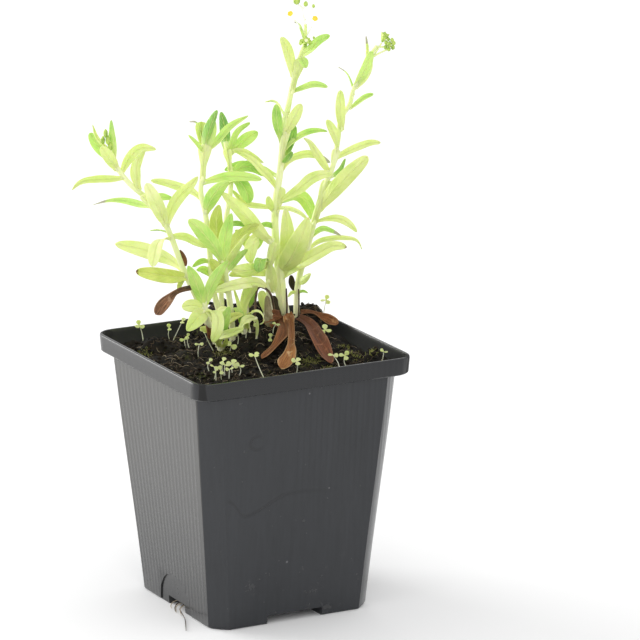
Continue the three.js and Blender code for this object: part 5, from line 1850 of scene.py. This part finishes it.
@dataclass
class Plant:
    """The stems with their leaves, and the dead leaves at the crown."""

    foliage: Foliage
    wardrobe: Wardrobe
    sway: float = 7.0
    joint_share: float = 0.3
    joint_reach: float = 2.4
    joint_thick: tuple[float, float] = (0.4, 0.12)
    wobble: random.Random = field(default_factory=lambda: random.Random(11))

    def build(self) -> None:
        """Builds every stem and leaf."""
        for stem in STEMS:
            self.stem(stem)
            for index, plan in enumerate(stem.leaves, 1):
                self.leaf(f"{stem.name}_blade_{index}", plan, f"{stem.name}_leaf_{index}")
            for index, plan in enumerate(stem.leaflets, 1):
                self.leaf(f"{stem.name}_leaflet_{index}", plan)
        for index, plan in enumerate(CROWN_LEAVES, 1):
            self.leaf(f"crown_leaf_{index}", plan)
        for index, (plan, finish) in enumerate(WITHERED_LEAVES, 1):
            self.dead(f"dead_leaf_{index}", plan, finish, f"withered_leaf_{index}")
        for index, (plan, finish) in enumerate(DEAD_SHEATHS, 1):
            self.dead(f"dead_sheath_{index}", plan, finish)
        lines = [([spot(place) for place in route], [thick] * len(route)) for route, thick in DEAD_STALKS]
        dark = Strand(screen(58, 44, 34), screen(104, 82, 60)).material("dead_stalk")
        Wardrobe.dress(Bench.thread("dead_stalks", lines, sides=2), dark, "withered_leaf")
        self.foliage.clear()

    def dead(self, name: str, plan: Leaf, finish: Withered, *nodes: str) -> None:
        """Builds a dead leaf or sheath."""
        blade = self.foliage.blade(name, plan)
        Wardrobe.dress(blade, self.wardrobe.get(finish, finish.material), "withered_leaf", *nodes)

    def stem(self, stem: Stem) -> None:
        """Builds a stem as a tapered tube with a slight swelling at each leaf.

        Args:
            stem: The stem.
        """
        points = [spot(place) for place in stem.route]
        low, high = stem.radii
        radii = [low + (high - low) * index / (len(points) - 1) for index in range(len(points))]
        nodes = (stem.name,) if stem.in_frame else ()
        lines = [(points, radii)] + [self.joint(plan) for plan in stem.leaves + stem.leaflets]
        tube = Bench.thread(stem.name + "_tube", lines)
        Wardrobe.dress(tube, self.wardrobe.stem(), "stem_green", *nodes)

    def joint(self, plan: Leaf) -> tuple[list[Vector], list[float]]:
        """The thick foot of a leaf's stalk, as a short tapered line along the start of its midrib.

        Args:
            plan: The leaf.

        Returns:
            The line's points, and its radius at each.
        """
        first, second = (spot(place) for place in plan.midrib[:2])
        way = (second - first).normalized()
        reach = min(self.joint_share * (second - first).length, self.joint_reach * MM)
        least, share = self.joint_thick
        thick = max(least, plan.width * share)
        return [first, first + way * reach * 0.5, first + way * reach], [thick * 1.3, thick, thick * 0.5]

    def leaf(self, name: str, plan: Leaf, *nodes: str) -> None:
        """Builds a leaf, twisted a little by chance."""
        blade = self.foliage.blade(name, replace(plan, twist=self.wobble.uniform(-self.sway, self.sway)))
        Wardrobe.dress(blade, self.wardrobe.blade(plan.tint, plan.tip), "leaf_green", *nodes)


@dataclass
class Blossom:
    """The two open flowers, the buds, and the fine stalks that carry them, in mm."""

    wardrobe: Wardrobe
    petal_length: float = 3.1
    petal_width: float = 3.3
    petal_thickness: float = 0.16
    stalk: tuple[Place, ...] = ((19.6, 16, 209.5), (19.5, 15.4, 217.4))
    stalk_radii: tuple[float, float] = (0.64, 0.62)
    flowers: tuple[tuple[str, Place, Place], ...] = (
        ("left_flower", (14, 11.5, 222), (-0.25, -0.75, 0.6)),
        ("right_flower", (23, 12.5, 220), (0.15, -0.8, 0.55)),
    )
    buds: tuple[tuple[str, Place, Place], ...] = (
        ("top_bud_left", (16.3, 15, 226.5), (2.6, 2.6, 3.4)),
        ("top_bud_right", (19.6, 16, 225.0), (1.7, 1.7, 2.2)),
        ("side_bud_upper", (48.6, 14, 212.6), (3.0, 3.0, 4.4)),
        ("side_bud_lower", (50.6, 13, 210.4), (1.9, 1.9, 2.3)),
    )
    cupped: tuple[str, ...] = ("side_bud_upper",)
    small_buds: tuple[tuple[Place, float, float], ...] = (
        ((22.5, 15, 224.4), 1.2, 1.5), ((18.0, 14.2, 211.2), 1.6, 2.0), ((21.1, 14.0, 211.0), 1.5, 1.9),
        ((19.4, 14.4, 209.6), 1.4, 1.8), ((22.6, 14.4, 212.6), 0.9, 1.1), ((52.2, 12.6, 210.9), 1.5, 1.9),
        ((51.9, 12.4, 209.3), 1.5, 1.9), ((50.4, 12.2, 208.7), 1.4, 1.8), ((49.2, 12.4, 209.4), 1.5, 1.9),
        ((50.6, 11.9, 210.2), 1.5, 1.9), ((51.6, 12.8, 212.0), 1.4, 1.8), ((50.2, 13.4, 212.2), 1.3, 1.6),
        ((49.4, 14.0, 210.8), 1.4, 1.8), ((-53.6, -17, 183.2), 1.7, 3.4), ((-52.8, -17.4, 180.8), 1.8, 3.6),
        ((-52.0, -17.0, 178.2), 1.8, 3.4), ((-54.6, -16.6, 180.6), 1.5, 3.2),
    )
    open_cups: tuple[tuple[Place, Place, float], ...] = (
        ((17.9, 13.6, 210.6), (-0.5, -1, 0.1), 0.7), ((16.3, 14.6, 227.0), (-0.2, -1, 0.3), 0.8),
    )
    spent_flower: Place = (19.75, 12.8, 211.9)
    white_stalks: tuple[tuple[Place, ...], ...] = (
        ((19.5, 15.4, 217), (18.8, 15.4, 220.5), (18, 15.4, 224.2)),
        ((19.4, 15.6, 213.5), (17.2, 14.6, 217), (15.2, 13.2, 219.8), (14.4, 12.6, 221)),
        ((19.6, 15.6, 212.5), (21.0, 15.2, 215.0), (22.4, 14.2, 217.8), (22.8, 13.4, 219)),
        ((18, 15.4, 224), (17.2, 15.2, 224.6), (16.5, 15, 225.4)),
        ((18, 15.4, 223.4), (19, 15.8, 223.6), (19.5, 16, 224.2)),
        ((19.3, 15.6, 219), (21.4, 15.2, 221.6), (22.4, 15, 223.6)),
    )
    green_stalks: tuple[tuple[Place, ...], ...] = (
        ((44.8, 14.8, 205.6), (46, 14.6, 207.6), (47.7, 14.2, 210.6)),
        ((44.8, 14.8, 205.4), (47, 14, 206.8), (49.8, 13, 208.4)),
        ((46, 14.4, 209.2), (48.2, 13.8, 209.2), (50.2, 13.2, 209.8)),
        ((19.5, 16, 209.8), (20, 15, 210.4), (20.4, 14.2, 211)),
        ((-51.2, -15.2, 173.4), (-51.8, -16.4, 177.6), (-52.6, -17.2, 180.4), (-53.6, -17, 183)),
    )

    def build(self) -> None:
        """Builds the flowers, buds and stalks."""
        stalk = [spot(place) for place in self.stalk]
        tube = Bench.thread("flower_stalk_tube", [(stalk, self.stalk_radii)])
        Wardrobe.dress(tube, self.wardrobe.stem(), "stem_green", "flower_stalk")
        petal = self.petal()
        cup = self.cup()
        for name, at, facing in self.flowers:
            self.flower(name, at, facing, petal, cup)
        bud = self.bud()
        for name, at, size in self.buds:
            cupped = name in self.cupped
            piece = Bench.copy(cup if cupped else bud, name + "_head")
            scale = [side / 2 * (1 if cupped else MM) for side in size]
            self.stand(piece, spot(at), spot((0.4 if cupped else 0.1, -0.2, 1)), scale)
            Wardrobe.dress(piece, self.wardrobe.bud(), "bud_green", name)
        heads = []
        for at, width, height in self.small_buds:
            heads.append(Bench.copy(bud, "small_bud"))
            self.stand(heads[-1], spot(at), UP, [side / 2 * MM for side in (width, width, height)])
        Wardrobe.dress(Bench.join("small_buds", heads), self.wardrobe.bud(), "bud_green")
        cups = []
        for at, facing, size in self.open_cups:
            cups.append(Bench.copy(cup, "open_cup"))
            self.stand(cups[-1], spot(at), spot(facing), [size] * 3)
        Wardrobe.dress(Bench.join("open_cups", cups), self.wardrobe.bud(), "bud_green")
        Bench.discard(petal, cup, bud)
        self.spent()
        self.pedicels()

    @staticmethod
    def stand(piece: Piece, at: Vector, facing: Vector, scale: Sequence[float]) -> None:
        """Sizes a piece, turns its top to face a way and puts it in place."""
        turn = upright_to(facing.normalized())
        Bench.settle(piece, Matrix.Translation(at) @ turn @ Matrix.Diagonal((*scale, 1)))

    @staticmethod
    def off_spoke(vert: Vert) -> float:
        """How far round a vertex is from the nearest of five spokes, in degrees."""
        turn = math.degrees(math.atan2(vert.co.y, vert.co.x)) % FIFTH
        return min(turn, FIFTH - turn)

    @staticmethod
    def torus(name: str, radius: float) -> Piece:
        """A ring of a radius in mm."""
        return Bench.add(name, bpy.ops.mesh.primitive_torus_add, major_radius=radius * MM,
                         minor_radius=0.3 * MM, major_segments=30, minor_segments=10)

    @staticmethod
    def ball(name: str, radius: float, rings: int = 10) -> Piece:
        """A ball of a radius in metres."""
        return Bench.add(name, bpy.ops.mesh.primitive_uv_sphere_add, segments=20, ring_count=rings,
                         radius=radius)

    def spent(self) -> None:
        """Builds the spent flower among the top buds: an open ring of sepals with a pale middle."""
        ring = self.torus("spent_ring", 0.98)
        with Bench.editing(ring):
            Bench.shape(ring, lambda vert: self.off_spoke(vert) < 14 and vert.co.to_2d().length > 1.0 * MM,
                        scale=(1.25, 1.25, 1))
        Bench.smooth(ring)
        heart = self.ball("spent_heart", 0.72 * MM)
        Bench.smooth(heart)
        place, facing = spot(self.spent_flower), spot((0.05, -1, 0.25))
        self.stand(ring, place, facing, (1, 1, 1))
        self.stand(heart, place, facing, (1, 1, 0.4))
        Wardrobe.dress(ring, self.wardrobe.bud(), "bud_green")
        pale = Strand(screen(226, 234, 170), screen(242, 246, 206))
        Wardrobe.dress(heart, pale.material("spent_heart"), "bud_green")

    def petal(self) -> Piece:
        """One petal to copy, from the throat out along X, with a small notch in its edge.

        Returns:
            The petal.
        """
        columns = 10
        petal = Bench.add("petal_master", bpy.ops.mesh.primitive_grid_add, x_subdivisions=columns,
                          y_subdivisions=8, size=2)
        with Bench.editing(petal):
            for column in range(columns + 1):
                share = column / columns
                half = max(math.sin(math.pi * (0.1 + 0.9 * share) ** 1.5), 0) ** 0.5
                rise = 0.35 * share * share - 0.12 * math.sin(math.pi * share)
                Bench.shape(petal, Bench.near(0, -1 + 2 * share), (1, max(half, 0.3), 1), (0, 0, rise))
            for edge, shift in (
                (lambda vert: vert.co.x > 0.95 and abs(vert.co.y) > 0.1, (-0.12, 0, 0)),
                (lambda vert: vert.co.x > 0.8 and abs(vert.co.y) < 0.03, (-0.16, 0, -0.03)),
                (lambda vert: abs(vert.co.y) > 0.75, (0, 0, 0.08)),
            ):
                Bench.shape(petal, edge, shift=shift)
        size = Matrix.Diagonal((self.petal_length / 2 * MM, self.petal_width / 2 * MM, 1.2 * MM, 1))
        Bench.settle(petal, Matrix.Translation(((self.petal_length / 2 + 0.4) * MM, 0, 0.1 * MM)) @ size)
        Bench.thicken(petal, self.petal_thickness * MM)
        return petal

    def cup(self) -> Piece:
        """The calyx behind a flower: a small cup with five teeth.

        Returns:
            The calyx.
        """
        cup = Bench.add("calyx_master", bpy.ops.mesh.primitive_cone_add, vertices=20, radius1=0.35 * MM,
                        radius2=1.0 * MM, depth=2 * MM, end_fill_type="NGON", location=(0, 0, -1.0 * MM))
        with Bench.editing(cup):
            Bench.pick(cup, lambda face: face.normal.z > 0.9, "FACE")
            bpy.ops.mesh.inset(thickness=0.2 * MM)
            bpy.ops.transform.translate(value=(0, 0, -0.5 * MM))
            Bench.shape(cup, lambda vert: vert.co.z > -0.1 * MM and self.off_spoke(vert) < 10,
                        (1.5, 1.5, 1), (0, 0, 0.25 * MM))
        Bench.apply(cup, "SUBSURF", levels=2, render_levels=2)
        Bench.smooth(cup)
        return cup

    def flower(self, name: str, at: Place, facing: Place, petal: Piece, cup: Piece) -> None:
        """Builds a flower: five petals, the yellow eye ring with its dark throat, and the calyx.

        Args:
            name: The flower's CAD node.
            at: Its middle.
            facing: The way it faces.
            petal: The petal to copy.
            cup: The calyx to copy.
        """
        middle, way = spot(at), spot(facing)
        petals = []
        for index in range(5):
            petals.append(Bench.copy(petal, f"{name}_petal"))
            Bench.settle(petals[-1], Matrix.Rotation(math.radians(FIFTH * index + 18), 4, "Z"))
        corolla = Bench.join(name + "_corolla", petals)
        self.stand(corolla, middle, way, (1, 1, 1))
        finish = Petal()
        Wardrobe.dress(corolla, self.wardrobe.get("petal", finish.material), "petal", name)
        eye = self.torus(name + "_eye", 0.62)
        with Bench.editing(eye):
            Bench.shape(eye, lambda vert: self.off_spoke(vert) < 8, scale=(0.88, 0.88, 0.7))
        throat = self.ball(name + "_throat", 0.5 * MM)
        throat.scale.z = 0.36
        Bench.settle(throat)
        eye = Bench.join(name + "_eye", [eye, throat])
        Bench.smooth(eye)
        self.stand(eye, middle + way.normalized() * 0.5 * MM, way, (1.22, 1.22, 1.1))
        Wardrobe.dress(eye, self.wardrobe.get("eye", finish.eye_material), "petal")
        calyx = Bench.copy(cup, name + "_calyx")
        self.stand(calyx, middle - way.normalized() * 0.7 * MM, way, (0.8, 0.8, 0.8))
        Wardrobe.dress(calyx, self.wardrobe.bud(), "bud_green")

    def bud(self) -> Piece:
        """A bud to copy, 2 wide and 2 high, with five sepals closed over it.

        Returns:
            The bud.
        """
        bud = self.ball("bud_master", 1, 12)
        with Bench.editing(bud):
            Bench.shape(bud, lambda vert: self.off_spoke(vert) < 8 and abs(vert.co.z) < 0.97, (0.78, 0.78, 1))
            Bench.shape(bud, lambda vert: vert.co.z > 0.6, (0.8, 0.8, 1))
            Bench.shape(bud, lambda vert: vert.co.z < -0.8, (0.7, 0.7, 1))
        Bench.smooth(bud)
        return bud

    def pedicels(self) -> None:
        """Builds the fine stalks from the stems to the flowers and buds."""
        pale = Strand(screen(236, 241, 214), screen(250, 251, 242)).material("pedicel")
        for name, routes, thick, finish in (
            ("white_pedicels", self.white_stalks, 0.24, pale),
            ("green_pedicels", self.green_stalks, 0.33, self.wardrobe.stem()),
        ):
            lines = [([spot(place) for place in route], [thick * 1.3] + [thick] * (len(route) - 1))
                     for route in routes]
            Wardrobe.dress(Bench.thread(name, lines), finish, "stem_green")


@dataclass
class Seedlings:
    """The clover-like seedlings on the soil, each with a white stem and round seed leaves, in mm."""

    wardrobe: Wardrobe
    soil: Soil
    places: tuple[tuple[float, float, float, float, float, float], ...] = (
        (-42.0, 21.2, -43.4, 21.2, 100.4, 1.5), (-32.3, 25.0, -32.3, 25.0, 98.4, 1.3),
        (-30.8, 24.0, -27.2, 22.0, 101.8, 1.4), (-25.8, 12.0, -26.2, 11.5, 97.6, 1.3),
        (-24.4, 11.0, -24.8, 10.5, 98.8, 1.0), (-15.2, 5.7, -18.6, 3.5, 102.6, 1.4),
        (-8.8, 3.5, -8.6, 1.8, 97.8, 1.8), (-3.0, 10.3, -3.2, 10.3, 102.4, 1.3),
        (1.6, 13.0, 0.2, 12.0, 104.0, 1.3), (6.6, 9.6, 6.3, 8.0, 99.2, 1.3),
        (7.2, 13.0, 8.4, 12.0, 103.4, 1.1), (4.5, -32.9, 0.8, -30.0, 102.6, 1.5),
        (-16.2, -22.0, -16.0, -23.0, 98.2, 1.1), (-14.0, -30.0, -14.1, -30.5, 98.4, 1.1),
        (-13.3, -33.0, -13.4, -33.0, 97.4, 1.0), (-10.8, -26.3, -10.8, -26.3, 99.4, 1.4),
        (-10.2, -27.5, -10.2, -28.0, 98.4, 1.2), (-11.4, -30.0, -11.6, -31.5, 97.2, 1.3),
        (-7.2, -26.0, -7.3, -26.6, 98.4, 1.7), (-4.8, -27.0, -4.7, -27.6, 97.8, 1.3),
        (-8.6, -31.5, -8.4, -32.0, 97.8, 1.2), (16.2, -22.0, 16.3, -23.0, 98.4, 1.5),
        (27.4, 14.7, 26.9, 14.0, 100.6, 1.7), (32.3, -17.9, 29.8, -16.0, 98.8, 1.4),
        (34.6, -15.1, 34.0, -15.0, 98.4, 1.5), (48.0, -12.0, 48.6, -12.4, 99.2, 1.1),
        (26.0, 32.0, 27.2, 32.0, 107.6, 1.5), (-20.6, -2.0, -20.2, -3.0, 99.6, 1.2),
        (-6.0, 8.0, -6.2, 8.0, 101.0, 1.2),
    )
    three_leaved: float = 1.45
    leaf_size: float = 0.72
    seed: int = 23

    def build(self) -> None:
        """Builds every seedling: its stem and its two or three seed leaves."""
        chance = random.Random(self.seed)
        master = self.seed_leaf()
        stems, leaves = [], []
        towards = spot((0.1, -1, 0.5)).normalized()
        for right, back, top_right, top_back, top, size in self.places:
            low = spot((right, back, 0))
            low.z = self.soil.height(low.x, low.y) or self.soil.level * MM
            high = spot((top_right, top_back, top))
            bow = Vector((chance.uniform(-0.6, 0.6), chance.uniform(-0.6, 0.6), 0)) * MM
            stems.append(([low, low.lerp(high, 0.5) + bow, high], [0.2, 0.16, 0.13]))
            start = chance.uniform(0, 360)
            count = 3 if size > self.three_leaved else 2
            for index in range(count):
                heading = start + 360 / count * index + chance.uniform(-20, 20)
                spin = Matrix.Rotation(math.radians(heading), 4, "Z")
                lift = Matrix.Rotation(math.radians(chance.uniform(-30, 10)), 4, "Y")
                turn = upright_to(towards.lerp(UP, chance.uniform(0.1, 0.8))) @ spin @ lift
                leaves.append(Bench.copy(master, "seed_leaf"))
                leaves[-1].matrix_world = (Matrix.Translation(high) @ turn
                                           @ Matrix.Scale(size * self.leaf_size * MM, 4))
        Bench.discard(master)
        stalks = Bench.thread("seedling_stems", stems, sides=2, steps=6)
        white = Strand(screen(214, 218, 180), screen(236, 238, 216)).material("seedling_white")
        Wardrobe.dress(stalks, white, "stem_green")
        blades = Bench.join("seed_leaves", leaves)
        Bench.settle(blades)
        Wardrobe.dress(blades, self.wardrobe.blade(Tint.LIME, Tip.SOUND), "leaf_green")

    @staticmethod
    def seed_leaf() -> Piece:
        """A round seed leaf to copy, about 2 long, from its short stalk out along X.

        Returns:
            The seed leaf.
        """
        columns = 8
        blade = Bench.add("seed_leaf_master", bpy.ops.mesh.primitive_grid_add, x_subdivisions=columns,
                          y_subdivisions=4, size=2)
        with Bench.editing(blade):
            for column in range(columns + 1):
                share = column / columns
                half = max(math.sin(math.pi * share ** 1.6), 0.0) ** 0.5
                least = 0.12 if share < 0.5 else 0.3
                Bench.shape(blade, Bench.near(0, -1 + 2 * share), scale=(1, max(half, least) * 0.9, 1))
            Bench.shape(blade, lambda vert: abs(vert.co.y) < 0.05, shift=(0, 0, -0.1))
        Bench.settle(blade, Matrix.Translation((1, 0, 0)))
        Bench.thicken(blade, 0.16)
        return blade


@dataclass
class Roots:
    """The fine roots that hang out of the left drainage channel, in mm."""

    pale: tuple[tuple[Place, ...], ...] = (
        ((-31, 3, 2.2), (-33.4, 2.5, 1.6), (-34.5, 1.5, 1.0), (-35.0, 0, 0.4)),
        ((-31, -1, 2.4), (-33.6, -1.4, 1.2), (-34.6, -3, 0.5), (-35.5, -5, 0.3)),
        ((-31, -4, 2.6), (-33.8, -5.5, 1.8), (-35.2, -8, 1.4), (-35.8, -10, 0.6)),
    )
    dark: tuple[tuple[Place, ...], ...] = (
        ((-31, -3, 2.4), (-33.8, -5, 1.6), (-35.0, -8, 1.4), (-36, -13, 0.6), (-38.5, -19, 0.4),
         (-42, -26.5, 0.4)),
        ((-31, 1, 2.4), (-33.9, -1, 1.2), (-35.4, -4, 0.4)),
    )
    thick: float = 0.18
    thin: float = 0.1

    def build(self) -> None:
        """Builds the roots."""
        for name, routes, strand in (
            ("pale_roots", self.pale, Strand(screen(150, 136, 116), screen(196, 184, 162))),
            ("dark_roots", self.dark, Strand(screen(46, 36, 28), screen(78, 60, 44))),
        ):
            lines = [([Vector(place) * MM for place in route], [self.thick] * (len(route) - 1) + [self.thin])
                     for route in routes]
            Wardrobe.dress(Bench.thread(name, lines, sides=2), strand.material(name), "potting_soil")


@dataclass
class Studio:
    """The pale floor, the soft lights and the camera at the photograph's angle."""

    tilt: float = 14.7
    distance: float = 1.8
    lens: float = 271.1
    sensor: float = 36.0
    sight: float = 10.0
    aim: Place = (24.9, 0.0, 108.1)
    lights: tuple[tuple[str, Place, float, float], ...] = (
        ("key", (-0.95, 1.36, 0.46), 1.0, 22), ("fill", (-0.7, -1.5, 0.9), 0.9, 5),
    )
    lit: Place = (0.0, 0.0, 0.12)
    backdrop: float = 0.98
    floor_size: float = 8.0

    def build(self) -> None:
        """Builds the camera, floor, lights and backdrop."""
        self.camera()
        self.floor()
        for light in self.lights:
            self.light(*light)
        world = bpy.data.worlds.new("studio")
        world.use_nodes = True
        background = world.node_tree.nodes["Background"]
        background.inputs["Color"].default_value = (1, 1, 1, 1)
        background.inputs["Strength"].default_value = self.backdrop
        bpy.context.scene.world = world
        bpy.context.scene.view_settings.view_transform = "Standard"

    @staticmethod
    def face(item: Piece, place: Vector, target: Vector) -> None:
        """Puts a light or a camera in a place, facing a target."""
        turn = (target - place).to_track_quat("-Z", "Y").to_matrix().to_4x4()
        item.matrix_world = Matrix.Translation(place) @ turn

    def camera(self) -> None:
        """Adds the camera and makes it the scene's."""
        data = bpy.data.cameras.new("photo_camera")
        data.lens = self.lens
        data.sensor_width = self.sensor
        data.clip_end = self.sight
        camera = Bench.link("photo_camera", data)
        tilt = math.radians(self.tilt)
        away = Vector((0, -math.cos(tilt), math.sin(tilt))) * self.distance / MM
        middle = spot(self.aim)
        self.face(camera, middle + spot(away), middle)
        bpy.context.scene.camera = camera

    def floor(self) -> None:
        """Adds the floor, a wide plane with the faint mottle of paper."""
        floor = Bench.add("floor", bpy.ops.mesh.primitive_plane_add, size=self.floor_size)
        dye = Dye("paper")
        dye.mix(dye.noise(8, 2), screen(246, 246, 246), screen(250, 250, 250))
        floor.data.materials.append(dye.finish(0.9))
        floor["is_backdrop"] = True

    def light(self, name: str, place: Place, size: float, power: float) -> None:
        """Adds a soft square light that faces the plant.

        Args:
            name: The light's name.
            place: Where it is, in metres.
            size: Its width in metres.
            power: Its power in watts.
        """
        data = bpy.data.lights.new(name, "AREA")
        data.size = size
        data.energy = power
        self.face(Bench.link(name, data), Vector(place), Vector(self.lit))


def main() -> None:
    """Builds the whole scene around the frame."""
    logging.basicConfig(level=logging.INFO, format="%(relativeCreated)7d ms  %(message)s")
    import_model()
    frame_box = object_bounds()
    Studio().build()
    wardrobe = Wardrobe()
    pot = Pot()
    pot.build(wardrobe)
    soil = Soil(pot)
    soil.build()
    Plant(Foliage(), wardrobe).build()
    Blossom(wardrobe).build()
    Seedlings(wardrobe, soil).build()
    Roots().build()
    boxes = {"frame": frame_box, "visual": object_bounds()}
    plain = {name: [[float(side) for side in corner] for corner in box] for name, box in boxes.items()}


if __name__ == "__main__":
    main()
